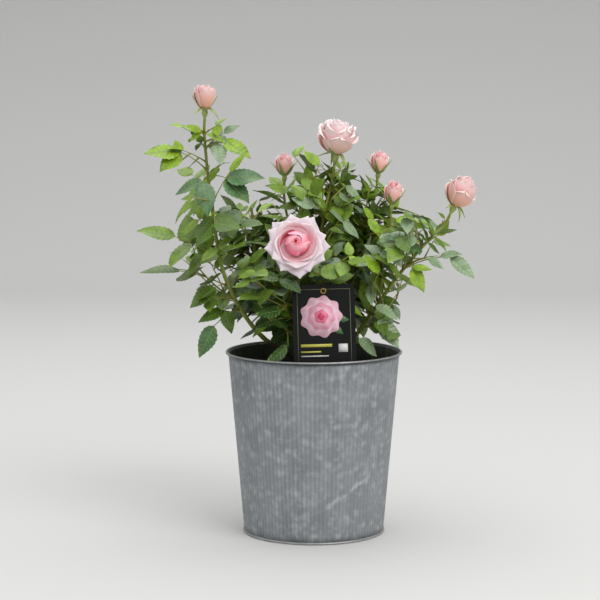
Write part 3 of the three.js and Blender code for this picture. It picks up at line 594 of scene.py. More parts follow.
def zinc_finish(nodes, shader, place):
    """Dull galvanised zinc: cloudy, with soft white oxide spots, faint ribs and one long scuff in front."""
    cloud = nodes.noise(place, 26, 4)
    base = nodes.ramp(cloud, [(0.3, (0.2, 0.215, 0.23)), (0.52, (0.255, 0.27, 0.285)),
                              (0.75, (0.31, 0.325, 0.34))])
    streaks = nodes.noise(nodes.stretched(place, (80, 80, 7)), 1.0, 2)
    base = nodes.mixed(nodes.rise(streaks, 0.42, 0.7, 0.3), base, (0.4, 0.42, 0.44))
    mottle = nodes.noise(place, 130, 2, 0.5)
    base = nodes.mixed(nodes.rise(mottle, 0.48, 0.75, 0.45), base, (0.5, 0.52, 0.54))
    cells = nodes.add("ShaderNodeTexVoronoi", {"Vector": place, "Scale": 105})
    draw = nodes.add("ShaderNodeSeparateColor", {"Color": cells.outputs["Color"]}).outputs["Red"]
    spots = nodes.maths("MULTIPLY", nodes.rise(cells.outputs["Distance"], 0.55, 0.05, 0.5), nodes.maths(
        "GREATER_THAN", draw, 0.6))
    base = nodes.mixed(spots, base, (0.56, 0.58, 0.59))
    # Darker in the rib valleys than on the ridges.
    base = nodes.mixed(nodes.rise(nodes.note("ridge"), 1.0, 0.0, 0.22), base, (0.12, 0.13, 0.14))
    spot = nodes.split(place)
    right = nodes.maths("SUBTRACT", spot["X"], SCUFF_MIDDLE[0] * MM)
    up = nodes.maths("SUBTRACT", spot["Z"], SCUFF_MIDDLE[1] * MM)
    off = nodes.maths("ABSOLUTE", nodes.maths("SUBTRACT", up, nodes.maths("MULTIPLY", right, SCUFF_SLOPE)))
    ends = nodes.rise(nodes.maths("ABSOLUTE", right), SCUFF_LENGTH / 2 * MM, SCUFF_LENGTH / 4 * MM)
    scuff = nodes.maths("MULTIPLY", nodes.rise(off, SCUFF_WIDTH * MM, 0.0, 0.6), ends)
    scuff = nodes.maths("MULTIPLY", scuff, nodes.rise(mottle, 0.35, 0.65))
    scuff = nodes.maths("MULTIPLY", scuff, nodes.maths("LESS_THAN", spot["Y"], 0.0))
    rough = nodes.add("ShaderNodeMapRange", {"Value": cloud, "To Min": 0.42, "To Max": 0.6}).outputs["Result"]
    nodes.put(shader.inputs["Roughness"], rough)
    relief(nodes, shader, nodes.noise(place, 260, 3), 0.3, 0.0005)
    return nodes.mixed(scuff, base, (0.62, 0.63, 0.635))


def inner_shade_finish(nodes, shader, place):
    """The inside of the pot, painted dark as shade, dull, with pale runs of scale."""
    runs = nodes.noise(nodes.stretched(place, (120, 120, 18)), 1.0, 3)
    relief(nodes, shader, nodes.noise(place, 260, 3), 0.3, 0.0005)
    return nodes.ramp(runs, [(0.35, (0.03, 0.034, 0.022)), (0.6, (0.06, 0.066, 0.048)),
                             (0.8, (0.13, 0.135, 0.11))])


def bead_finish(nodes, shader, place):
    """The zinc of the rolled rim and the foot, painted lighter than the wall as a highlight, with painted
    shade under the rim roll.
    """
    cloud = nodes.noise(place, 90, 4)
    # The lighter ramp paints the rim's highlight.
    base = nodes.ramp(cloud, [(0.3, (0.26, 0.265, 0.262)), (0.7, (0.38, 0.382, 0.378))])
    spot = nodes.split(place)
    rim_middle = (POT_HEIGHT - RIM_ROLL_RADIUS) * MM
    # Painted shade covers the rim roll below its middle on its outer side; the foot and the inner side stay
    # bare.
    unshaded = nodes.rise(spot["Z"], rim_middle - 0.5 * MM, rim_middle + 0.6 * MM)
    unshaded = nodes.maths("MAXIMUM", unshaded, nodes.maths("LESS_THAN", spot["Z"], 0.1))
    out = nodes.maths("SQRT", nodes.maths("ADD", nodes.maths("POWER", spot["X"], 2.0), nodes.maths(
        "POWER", spot["Y"], 2.0)))
    inner = nodes.maths("LESS_THAN", out, (POT_TOP_RADIUS + ROLL_OFFSET) * MM)
    unshaded = nodes.maths("MAXIMUM", unshaded, inner)
    relief(nodes, shader, nodes.noise(place, 400, 2), 0.15, 0.0003)
    return nodes.mixed(unshaded, (0.05, 0.053, 0.055), base)


def compost_finish(nodes, shader, place):
    relief(nodes, shader, nodes.noise(place, 500, 3), 0.6, 0.001)
    return nodes.ramp(nodes.noise(place, 180, 4), [
        (0.3, (0.008, 0.006, 0.004)), (0.6, (0.03, 0.02, 0.012)), (0.8, (0.07, 0.05, 0.03))])


def bark_finish(low, high, speck):
    """Green young bark that is browner in places, with pale specks and fine lengthwise relief."""
    def finish(nodes, shader, place):
        patches = nodes.noise(place, 30, 3)
        base = nodes.ramp(patches, [(0.35, low), (0.65, high)])
        specks = nodes.add("ShaderNodeTexVoronoi", {"Vector": place, "Scale": 420}).outputs["Distance"]
        dots = nodes.ramp(specks, [(0.0, (1, 1, 1)), (0.14, (0, 0, 0))])
        relief(nodes, shader, nodes.noise(nodes.stretched(place, (1, 1, 0.2)), 700, 3), 0.35, 0.0006)
        return nodes.mixed(nodes.maths("MULTIPLY", dots, 0.5), base, speck)
    return finish


def leaf_finish(colour):
    """A plain leaf colour with a slight cloudiness and the fine grain of a leaf's skin."""
    def finish(nodes, shader, place):
        shader.inputs["Base Color"].default_value = (*colour, 1)
        darker = tuple(0.78 * channel for channel in colour)
        lighter = tuple(1.2 * channel for channel in colour)
        relief(nodes, shader, nodes.noise(place, 1400, 2), 0.18, 0.0003)
        return nodes.ramp(nodes.noise(place, 130, 2), [(0.35, darker), (0.65, lighter)])
    return finish


def petal_finish(stops, feet, rims):
    """Petals whose face, foot and thin rim each deepen towards the flower's middle, the foot partly by painted
    shade.
    """
    def finish(nodes, shader, place):
        depth, along, across = (nodes.note(name) for name in ("depth", "along", "across"))
        base = nodes.ramp(depth, stops)
        rim = nodes.ramp(depth, rims)
        clouds = nodes.noise(place, 240, 3)
        base = nodes.mixed(nodes.maths("MULTIPLY", clouds, 0.2), base, rim)
        # Towards each petal's foot the colour turns to the feet colours: partly the petal's own deeper base,
        # partly painted shade in the creases round the centre.
        low = nodes.maths("POWER", nodes.maths("SUBTRACT", 1.0, along), nodes.rise(depth, 0.6, 0.3, 0.7))
        low = nodes.maths("MULTIPLY", low, nodes.rise(along, 0.88, 0.68))
        base = nodes.mixed(low, base, nodes.ramp(depth, feet))
        edge = nodes.maths("MAXIMUM", nodes.maths("POWER", along, 9.0), nodes.maths("POWER", across, 10.0))
        relief(nodes, shader, nodes.noise(place, 600, 2), 0.12, 0.0004)
        return nodes.mixed(nodes.maths("MULTIPLY", edge, 0.85), base, rim)
    return finish


def plain_finish(colour, grain=900, strength=0.1):
    def finish(nodes, shader, place):
        shader.inputs["Base Color"].default_value = (*colour, 1)
        darker = tuple(0.88 * channel for channel in colour)
        relief(nodes, shader, nodes.noise(place, grain, 2), strength, 0.0002)
        return nodes.ramp(nodes.noise(place, grain * 0.2, 2), [(0.3, darker), (0.7, colour)])
    return finish


ZINC = material("galvanised zinc", zinc_finish, metallic=0.3)
# Zinc for the rim and foot, with a painted highlight and painted shade under the rim roll.
BEAD_ZINC = material("rim zinc with painted light", bead_finish, metallic=0.4, roughness=0.36)
# The inside of the pot, painted dark as shade.
INNER_ZINC_SHADE = material("zinc inside, painted shade", inner_shade_finish, roughness=0.8)
COMPOST = material("moist compost", compost_finish, roughness=0.95)
OLD_BARK = material("old cane bark", bark_finish(
    (0.05, 0.065, 0.012), (0.08, 0.06, 0.02), (0.16, 0.14, 0.06)), roughness=0.6)
YOUNG_BARK = material("young cane bark", bark_finish(
    (0.16, 0.22, 0.02), (0.24, 0.27, 0.035), (0.32, 0.34, 0.1)), roughness=0.5)
STALK = material("leaf stalk", bark_finish(
    (0.22, 0.28, 0.03), (0.3, 0.25, 0.05), (0.36, 0.36, 0.1)), roughness=0.5)
PRICKLE = material("prickle", plain_finish((0.24, 0.12, 0.05)), roughness=0.45)


def leaf(name, colour, roughness):
    """A leaf's upper face, with the thin gloss that shows the sky."""
    return material(name, leaf_finish(colour), roughness=roughness, specular_ior_level=0.35,
                    coat_weight=0.4, coat_roughness=0.24)


LEAF_TONES = {
    "deep": leaf("deep leaf", (0.034, 0.08, 0.012), 0.42),
    "mid": leaf("mid leaf", (0.085, 0.16, 0.01), 0.44),
    "fresh": leaf("fresh leaf", (0.165, 0.275, 0.01), 0.46),
    "lime": leaf("lime leaf", (0.25, 0.4, 0.004), 0.5),
    # A pale grey-green that paints the sky's sheen on a leaf
    "silvery": leaf("leaf with painted sheen", (0.24, 0.33, 0.19), 0.4),
    "cool": leaf("cool leaf", (0.07, 0.165, 0.055), 0.38),
}
UNDERSIDE = material("leaf underside", leaf_finish((0.15, 0.22, 0.05)), roughness=0.6)
VEIN = material("leaf vein", plain_finish((0.17, 0.28, 0.08)), roughness=0.5)
SEPAL = material("sepal", leaf_finish((0.32, 0.39, 0.11)), roughness=0.5)
# Its feet turn near-black crimson round the centre: partly the petals' own colour, partly painted shade in the
# crease between the centre and the cup of petals round it.
OPEN_PETAL = material("open petal", petal_finish(
    [(0.0, (0.63, 0.53, 0.6)), (0.38, (0.71, 0.61, 0.66)), (0.54, (0.84, 0.6, 0.65)),
     (0.6, (0.92, 0.34, 0.43)), (0.8, (0.93, 0.36, 0.45)), (1.0, (0.95, 0.2, 0.24))],
    [(0.0, (0.7, 0.52, 0.58)), (0.36, (0.84, 0.5, 0.55)), (0.44, (0.85, 0.2, 0.28)),
     (0.49, (0.65, 0.01, 0.07)), (0.58, (0.55, 0.003, 0.04)), (0.64, (0.86, 0.16, 0.26)),
     (1.0, (0.75, 0.01, 0.04))],
    [(0.0, (0.8, 0.74, 0.71)), (0.55, (0.9, 0.76, 0.76)), (0.6, (0.95, 0.6, 0.66)),
     (1.0, (0.85, 0.14, 0.2))]), roughness=0.6, sheen_weight=0.03, specular_ior_level=0.3)
CUP_PETAL = material("opening petal", petal_finish(
    [(0.0, (0.97, 0.62, 0.65)), (0.25, (0.97, 0.7, 0.73)), (0.6, (0.97, 0.76, 0.8)),
     (1.0, (0.93, 0.6, 0.66))],
    [(0.0, (0.9, 0.5, 0.4)), (0.4, (0.88, 0.48, 0.44)), (1.0, (0.8, 0.3, 0.36))],
    [(0.0, (0.97, 0.9, 0.84)), (1.0, (0.96, 0.87, 0.86))]), roughness=0.55, sheen_weight=0.2)
BUD_PETAL = material("bud petal", petal_finish(
    [(0.0, (0.85, 0.44, 0.43)), (0.5, (0.87, 0.5, 0.54)), (1.0, (0.82, 0.36, 0.42))],
    [(0.0, (0.76, 0.38, 0.2)), (0.5, (0.8, 0.36, 0.32)), (1.0, (0.7, 0.2, 0.26))],
    [(0.0, (0.94, 0.8, 0.72)), (1.0, (0.92, 0.74, 0.72))]), roughness=0.55, sheen_weight=0.2)
SMALL_PETAL = material("small bud petal", petal_finish(
    [(0.0, (0.98, 0.52, 0.52)), (0.5, (0.98, 0.47, 0.52)), (1.0, (0.93, 0.36, 0.43))],
    [(0.0, (0.95, 0.52, 0.38)), (0.5, (0.93, 0.38, 0.36)), (1.0, (0.84, 0.22, 0.28))],
    [(0.0, (0.96, 0.78, 0.7)), (1.0, (0.95, 0.68, 0.66))]), roughness=0.55, sheen_weight=0.5)
CARD = material("label card", plain_finish((0.008, 0.009, 0.008), 1500, 0.03), roughness=0.3,
                specular_ior_level=0.2)
CARD_OLIVE = material("card frame olive", plain_finish((0.17, 0.18, 0.1)), roughness=0.35)
CARD_GOLD = material("card ring gold", plain_finish((0.5, 0.34, 0.08)), roughness=0.3, metallic=0.7)
CARD_WHITE = material("card white", plain_finish((0.68, 0.68, 0.66)), roughness=0.35)
CARD_YELLOW = material("card yellow", plain_finish((0.55, 0.52, 0.08)), roughness=0.35)
CARD_PINKS = [material(f"card pink {index}", plain_finish(colour), roughness=0.35) for index, colour in
              enumerate([(0.85, 0.5, 0.61), (0.93, 0.62, 0.71), (0.87, 0.38, 0.51), (0.92, 0.52, 0.62),
                         (0.84, 0.2, 0.32), (0.62, 0.05, 0.12)])]
CARD_LEAF = material("card leaf", plain_finish((0.05, 0.14, 0.04)), roughness=0.35)


# Pot

def bead(radius, height, size, first, last, steps):
    turns = np.radians(np.linspace(first, last, steps + 1))
    return [(radius + size * math.cos(turn), height + size * math.sin(turn)) for turn in turns]


def wall_radius(height):
    return lerp(POT_FOOT_RADIUS, POT_TOP_RADIUS, height / POT_HEIGHT)


def ribbed_wall():
    """The pot's tapering wall, a sheet that upright ribs run round."""
    sizes = {"Foot Radius": POT_FOOT_RADIUS * MM, "Top Radius": wall_radius(WALL_TOP) * MM,
             "Foot": WALL_FOOT * MM, "Top": WALL_TOP * MM, "Ribs": RIBS, "Rib Depth": RIB_DEPTH * MM,
             "Steps": RIB_STEPS}
    nodes, given = new_tree("ribbed wall", sizes)
    around = nodes.maths("ADD", nodes.maths("MULTIPLY", given["Ribs"], given["Steps"]), 1)
    grid = nodes.add("GeometryNodeMeshGrid", {
        "Size X": 1.0, "Size Y": 1.0, "Vertices X": around, "Vertices Y": WALL_ROWS}).outputs["Mesh"]
    flat = nodes.split(nodes.add("GeometryNodeInputPosition").outputs[0])
    turn = nodes.maths("MULTIPLY", nodes.maths("ADD", flat["X"], 0.5), 2 * math.pi)
    share = nodes.maths("ADD", flat["Y"], 0.5)
    wave = nodes.maths("MULTIPLY", nodes.maths("ADD", 1.0, nodes.maths("COSINE", nodes.maths(
        "MULTIPLY", turn, given["Ribs"]))), 0.5)
    near_end = nodes.maths("MINIMUM", share, nodes.maths("SUBTRACT", 1.0, share))
    fade = nodes.maths("MINIMUM", nodes.maths("MULTIPLY", near_end, 20.0), 1.0)
    groove = nodes.maths("MULTIPLY", nodes.maths("MULTIPLY", wave, given["Rib Depth"]), fade)
    taper = nodes.maths("MULTIPLY", nodes.maths("SUBTRACT", given["Top Radius"], given["Foot Radius"]), share)
    radius = nodes.maths("SUBTRACT", nodes.maths("ADD", taper, given["Foot Radius"]), groove)
    rise = nodes.maths("MULTIPLY", nodes.maths("SUBTRACT", given["Top"], given["Foot"]), share)
    place = nodes.add("ShaderNodeCombineXYZ", {
        "X": nodes.maths("MULTIPLY", radius, nodes.maths("COSINE", turn)),
        "Y": nodes.maths("MULTIPLY", radius, nodes.maths("SINE", turn)),
        "Z": nodes.maths("ADD", rise, given["Foot"]),
    }).outputs[0]
    noted = nodes.add("GeometryNodeStoreNamedAttribute", {
        "Geometry": grid, "Name": "ridge", "Value": nodes.maths("SUBTRACT", 1.0, wave)},
        data_type="FLOAT", domain="POINT").outputs[0]
    bent = nodes.add("GeometryNodeSetPosition", {"Geometry": noted, "Position": place}).outputs[0]
    joined = nodes.add("GeometryNodeMergeByDistance", {"Geometry": bent, "Distance": 1e-5}).outputs[0]
    smooth = nodes.add("GeometryNodeSetShadeSmooth", {"Geometry": joined}).outputs[0]
    return grown_by(close_tree(nodes, smooth, ZINC), bpy.data.meshes.new("wall base"), sizes)


def make_pot():
    wall = piece("pot_ribbed_wall", ribbed_wall(), ZINC, ["pot"])
    sheet = wall.modifiers.new("sheet", "SOLIDIFY")
    sheet.thickness = SHEET * MM
    sheet.offset = -1
    rims = Parts()
    roll = bead(POT_TOP_RADIUS + ROLL_OFFSET, POT_HEIGHT - RIM_ROLL_RADIUS, RIM_ROLL_RADIUS, -60, 300, 20)
    rims.add(*hoop(roll[:-1], POT_SIDES))
    foot = [(0, 0.2), (60, 0.2), (74, 0.2)]
    foot += bead(POT_FOOT_RADIUS, FOOT_BEAD_RADIUS, FOOT_BEAD_RADIUS, -110, 95, 14)
    foot += [(POT_FOOT_RADIUS - 1.2, 2.6), (POT_FOOT_RADIUS - 1.6, 1.4), (60, 1.4), (0, 1.4)]
    rims.add(*turned(foot, POT_SIDES))
    piece("pot_rim_and_foot", rims, BEAD_ZINC)

    # A dark sheet just inside the wall paints the shade inside the pot.
    low, high = SOIL_LEVEL - SHADE_SHEET_DEPTH, POT_HEIGHT - SHADE_SHEET_DROP
    behind = RIB_DEPTH + SHEET + SHADE_SHEET_GAP
    low_radius, high_radius = wall_radius(low) - behind, wall_radius(high) - behind
    shade_sheet = Parts()
    shade_sheet.add(*hoop([(low_radius - SHADE_SHEET_THICKNESS, low), (low_radius, low), (high_radius, high),
                      (high_radius - SHADE_SHEET_THICKNESS, high)], 96))
    piece("pot_inside_shade_sheet", shade_sheet, INNER_ZINC_SHADE)


# Compost

def make_compost():
    """The compost's lumpy top, with crumbs strewn over it."""
    edge_radius = wall_radius(SOIL_LEVEL) - SOLID_WALL - 1
    rings = np.linspace(0, 1, SOIL_RINGS) ** 0.8 * edge_radius
    profile = [(0, SOIL_LEVEL - SOIL_DEPTH), (edge_radius - 4, SOIL_LEVEL - SOIL_DEPTH)]
    profile += [(radius, SOIL_LEVEL - SOIL_EDGE_DROP * (radius / edge_radius) ** 2) for radius in rings[:0:-1]]
    profile.append((0, SOIL_LEVEL))
    places, faces = turned(profile, SOIL_SIDES)
    for place in places:
        if place[2] > SOIL_LEVEL - 20 and math.hypot(place[0], place[1]) < edge_radius - 1:
            place[2] += lumpy(Vector(place), SOIL_LUMPS, 0) - SOIL_LUMP_DROP
    soil = Parts()
    soil.add(places, faces)
    surface = piece("compost_surface", soil, COMPOST, ["compost"]).data

    sizes = {"Crumbs": 42000.0, "Crumb Radius": 1.5 * MM, "Seed": 5}
    nodes, given = new_tree("compost crumbs", sizes)
    normal = nodes.split(nodes.add("GeometryNodeInputNormal").outputs[0])
    faces_up = nodes.add("FunctionNodeCompare", {0: normal["Z"], 1: 0.5},
                         operation="GREATER_THAN").outputs[0]
    strewn = nodes.add("GeometryNodeDistributePointsOnFaces", {
        "Mesh": given["Geometry"], "Selection": faces_up, "Density": given["Crumbs"], "Seed": given["Seed"]})
    crumb = nodes.add("GeometryNodeMeshIcoSphere", {
        "Radius": given["Crumb Radius"], "Subdivisions": 1}).outputs[0]
    turn = nodes.add("FunctionNodeRandomValue", {
        "Min": (0.0, 0.0, 0.0), "Max": (6.28, 6.28, 6.28), "Seed": 2}, data_type="FLOAT_VECTOR").outputs[0]
    size = nodes.add("FunctionNodeRandomValue", {
        "Min": (0.25, 0.2, 0.2), "Max": (1.3, 1.0, 0.8), "Seed": 3}, data_type="FLOAT_VECTOR").outputs[0]
    crumbs = nodes.add("GeometryNodeInstanceOnPoints", {
        "Points": strewn.outputs["Points"], "Instance": crumb, "Rotation": turn, "Scale": size}).outputs[0]
    tree = close_tree(nodes, crumbs, COMPOST)
    piece("compost_crumbs", grown_by(tree, surface.copy(), sizes), COMPOST)


# Growth, by the rule of the solid model

def numbers_from(seed):
    """A repeatable run of numbers from 0 to 1."""
    state = (seed * 69069 + 12345) % 4294967296

    def draw():
        nonlocal state
        state = (1664525 * state + 1013904223) % 4294967296
        return state / 4294967296
    draw()
    draw()
    return draw


class Path:
    """A curve, with its places measured by length."""

    def __init__(self, point_at):
        self.point_at = point_at
        self.shares = np.linspace(0, 1, 201)
        points = np.array([point_at(share) for share in self.shares])
        self.lengths = np.concatenate(([0], np.cumsum(np.linalg.norm(np.diff(points, axis=0), axis=1))))
        self.length = self.lengths[-1]

    def share_at(self, share):
        return np.interp(share * self.length, self.lengths, self.shares)

    def place(self, share):
        return self.point_at(self.share_at(share))

    def along(self, share):
        middle = self.share_at(share)
        return unit(self.point_at(min(1, middle + 1e-4)) - self.point_at(max(0, middle - 1e-4)))


def smooth_through(points):
    """A centripetal curve through points."""
    points = [vec(*point) for point in points]
    last = len(points) - 1

    def point_at(share):
        index = min(int(share * last), last - 1)
        weight = share * last - index
        p1, p2 = points[index], points[index + 1]
        p0 = points[index - 1] if index > 0 else 2 * points[0] - points[1]
        p3 = points[index + 2] if index + 2 <= last else 2 * points[last] - points[last - 1]
        d0, d1, d2 = (np.linalg.norm(b - a) ** 0.5 for a, b in ((p0, p1), (p1, p2), (p2, p3)))
        t1 = ((p1 - p0) / d0 - (p2 - p0) / (d0 + d1) + (p2 - p1) / d1) * d1
        t2 = ((p2 - p1) / d1 - (p3 - p1) / (d1 + d2) + (p3 - p2) / d2) * d1
        c2 = -3 * p1 + 3 * p2 - 2 * t1 - t2
        c3 = 2 * p1 - 2 * p2 + t1 + t2
        return p1 + t1 * weight + c2 * weight ** 2 + c3 * weight ** 3
    return Path(point_at)


def curve(first, bend, last):
    """A curve that sets out towards a bend and comes in from it."""
    return lambda t: (1 - t) ** 2 * first + 2 * t * (1 - t) * bend + t * t * last


def flower_foot(name):
    flower = FLOWERS[name]
    along = unit(vec(*flower["facing"]))
    return vec(*flower["centre"]) - along * FLOWER_KINDS[flower["kind"]]["height"], along


def path_to_end(points, flower, tip=None):
    """A path that ends at a tip, or runs straight along the flower's axis where there is a flower."""
    if flower is None:
        return smooth_through([*points, tip])
    place, along = flower_foot(flower)
    return smooth_through([*points, place - NECK * along, place])


def cane_path(cane):
    middle = vec(0, CROWN_CENTRE_Y, SOIL_LEVEL + CANE_FOOT_RISE)
    start = [middle]
    if cane["foot_angle"] is not None:
        turn = math.radians(cane["foot_angle"])
        outwards = vec(math.cos(turn), math.sin(turn), 0)
        start = [middle + CANE_ROOT_CIRCLE * outwards, middle + CANE_FOOT_CIRCLE * outwards]
    return path_to_end([*start, *cane["bends"]], cane["flower"], cane.get("tip"))


def cane_radius(share):
    return lerp(CANE_FOOT_RADIUS, CANE_TIP_RADIUS, math.sqrt(share))


CANE_PATHS = [cane_path(cane) for cane in CANES]
LIMB_SHARES = np.linspace(0, 1, LIMB_STEPS + 1)
LIMB_PLACES = np.array([[path.place(share) for share in LIMB_SHARES] for path in CANE_PATHS])
LIMB_RADII = np.array([cane_radius(share) for share in LIMB_SHARES])
CENTRES = np.array([cane["centre"] for cane in CANES], float)
REACHES = np.array([cane["reach"] for cane in CANES], float)
FLOWER_CENTRES = np.array([flower["centre"] for flower in FLOWERS.values()], float)
FLOWER_WAYS = np.array([unit(vec(*flower["facing"])) for flower in FLOWERS.values()])
FLOWER_SPACES = np.array([FLOWER_KINDS[flower["kind"]]["space"] for flower in FLOWERS.values()])


def label_axes():
    """The label's own right, up and outward ways."""
    cos, sin = math.cos(math.pi / 2 - LABEL_LEAN), math.sin(math.pi / 2 - LABEL_LEAN)
    tilt = np.array([[1, 0, 0], [0, cos, -sin], [0, sin, cos]])
    cos, sin = math.cos(-LABEL_TURN), math.sin(-LABEL_TURN)
    roll = np.array([[cos, 0, sin], [0, 1, 0], [-sin, 0, cos]])
    return (roll @ tilt).T


LABEL_AXES = label_axes()


def from_label(points):
    """How far right, up and out from the label's top each point lies, in the label's own ways."""
    return ((points - vec(*LABEL_TOP)) @ LABEL_AXES.T).T


def limbs_in_way(owner):
    masks = []
    for index in range(len(CANES)):
        steps = np.arange(LIMB_STEPS + 1)
        inside = (index == owner) & (steps > CANES[owner]["fork"] * LIMB_STEPS + 1)
        masks.append(~inside)
    return np.array(masks)


LIMBS_IN_WAY = [limbs_in_way(owner) for owner in range(len(CANES))]


class Space:
    """Where one mass may grow: within its ellipsoid, on its own side of the walls halfway to the other
    masses, and clear of pot, label, flowers and limbs. Fine growth comes closer behind a flat flower."""

    def __init__(self, owner, fine=False):
        self.owner = owner
        flat = [FLOWER_KINDS[flower["kind"]]["flat"] for flower in FLOWERS.values()]
        self.flower_flatness = np.array(flat) if fine else np.ones(len(FLOWERS))

    def within(self, points):
        centre = CENTRES[self.owner]
        if (np.sum(((points - centre) / REACHES[self.owner]) ** 2, axis=1) > 1).any():
            return False
        for index, theirs in enumerate(CENTRES):
            if index == self.owner:
                continue
            way = unit(theirs - centre)
            if ((points - (theirs + centre) / 2) @ way >= -SPACE_MARGIN).any():
                return False
        return True

    def clear_of_flowers(self, points):
        offsets = points[:, None] - FLOWER_CENTRES
        along = np.sum(offsets * FLOWER_WAYS, axis=2, keepdims=True)
        offsets = offsets + (self.flower_flatness[None, :, None] - 1) * along * FLOWER_WAYS
        return (np.linalg.norm(offsets, axis=2) >= FLOWER_SPACES).all()

    def clear_of_limbs(self, points):
        distances = np.linalg.norm(points[:, None, None] - LIMB_PLACES, axis=3)
        return not ((distances <= LIMB_RADII + LIMB_MARGIN) & LIMBS_IN_WAY[self.owner]).any()

    def is_clear(self, points):
        return (self.within(points) and clear_of_pot(points) and clear_of_label(points)
                and self.clear_of_flowers(points) and self.clear_of_limbs(points))


def clear_of_pot(points):
    radius = np.hypot(points[:, 0], points[:, 1])
    wall = wall_radius(points[:, 2]) - SOLID_WALL
    above = points[:, 2] > POT_HEIGHT + POT_MARGIN
    within = (radius < wall - POT_MARGIN) & (points[:, 2] > SOIL_LEVEL + POT_MARGIN)
    outside = radius > wall + SOLID_WALL + 2 * RIM_BEAD_RADIUS + POT_MARGIN
    return (above | within | outside).all()


def clear_of_label(points):
    right, up, out = from_label(points)
    beside = np.abs(right) >= LABEL_WIDTH / 2 + LABEL_MARGIN
    beyond = (up >= LABEL_MARGIN) | (up <= -LABEL_HEIGHT - STAKE_DEPTH)
    off = np.abs(out) >= LABEL_MARGIN
    return (beside | beyond | off).all()


def seen_from_front(points):
    """Where points appear on the upright plane at y = 0, as [x, z]."""
    eye = vec(EYE[0], EYE[2])
    share = EYE[1] / (EYE[1] - points[:, 1])
    return eye + (points[:, [0, 2]] - eye) * share[:, None]


def shown_places():
    """Blooms and upper stalks that show from the front, and how far round each stays open."""
    places = list(FLOWER_CENTRES)
    margins = list(BLOOM_MARGIN * FLOWER_SPACES)
    for name in FLOWERS:
        foot, along = flower_foot(name)
        places += [foot - along * step for step in range(0, STALK_STRETCH, 4)]
    for cane, path in zip(CANES, CANE_PATHS):
        places += [path.place(share) for share in np.arange(cane.get("shows", 1), 1, 0.02)]
    margins += [STALK_MARGIN] * (len(places) - len(margins))
    return np.array(places), np.array(margins)


SHOWN_PLACES, SHOWN_MARGINS = shown_places()
SHOWN_FROM_FRONT = seen_from_front(SHOWN_PLACES)


def drawn_points(leaflet):
    """A leaflet's middle, tip and two edges, as it is drawn."""
    length = LEAFLET_GROWTH * leaflet["length"]
    middle = leaflet["foot"] + leaflet["along"] * LEAFLET_WIDEST * length
    half = leaflet["side"] * LEAFLET_SLIMNESS * length / 2
    return np.array([middle, leaflet["foot"] + leaflet["along"] * length, middle + half, middle - half])


def keeps_to_box(leaflet):
    """Whether a leaflet stays in the solid model's box, apart from a small margin all round."""
    low, high = np.array(solid_box) / MM
    points = drawn_points(leaflet)
    return ((points > low - BOX_MARGIN) & (points < high + BOX_MARGIN)).all()


def hides_label(leaflet):
    right, up, out = from_label(drawn_points(leaflet))
    before = (np.abs(right) < LABEL_WIDTH / 2) & (up < 0) & (up > -LABEL_HEIGHT) & (out > 0)
    corner = (right < COVERED_CORNER[0]) & (up > COVERED_CORNER[1])
    return (before & ~corner).any()


def is_in_the_way(leaflet):
    """Whether a leaflet would hide a bloom or an upper stalk from the front, or close an open stretch."""
    points = drawn_points(leaflet)
    seen = seen_from_front(points)
    for left, right, low, high in OPEN_STRETCHES:
        if ((seen > (left, low)) & (seen < (right, high))).all(axis=1).any():
            return True
    near = np.linalg.norm(seen[:, None] - SHOWN_FROM_FRONT, axis=2) < SHOWN_MARGINS
    return (near & (points[:, None, 1] < SHOWN_PLACES[:, 1])).any()


def line(first, last, steps):
    shares = (np.arange(1, steps + 1) / steps)[:, None]
    return first + (last - first) * shares


def leaflet_frame(foot, way, face, length):
    along = unit(way)
    side = unit(np.cross(along, face))
    return dict(foot=foot, along=along, side=side, lift=np.cross(side, along), length=length,
                middle=foot + along * LEAFLET_WIDEST * length)


def leaflet_is_clear(leaflet, space):
    length = leaflet["length"]
    half = LEAFLET_SLIMNESS * length / 2
    middle = leaflet["middle"]
    tip = leaflet["foot"] + leaflet["along"] * length - leaflet["lift"] * LEAFLET_DROOP * length
    points = [line(leaflet["foot"], tip, 5)]
    for hand in (-1, 1):
        edge = middle + leaflet["side"] * hand * half + leaflet["lift"] * LEAFLET_FOLD * length
        points += [line(edge, tip, 3), line(middle, edge, 2)]
    return space.is_clear(np.concatenate(points))


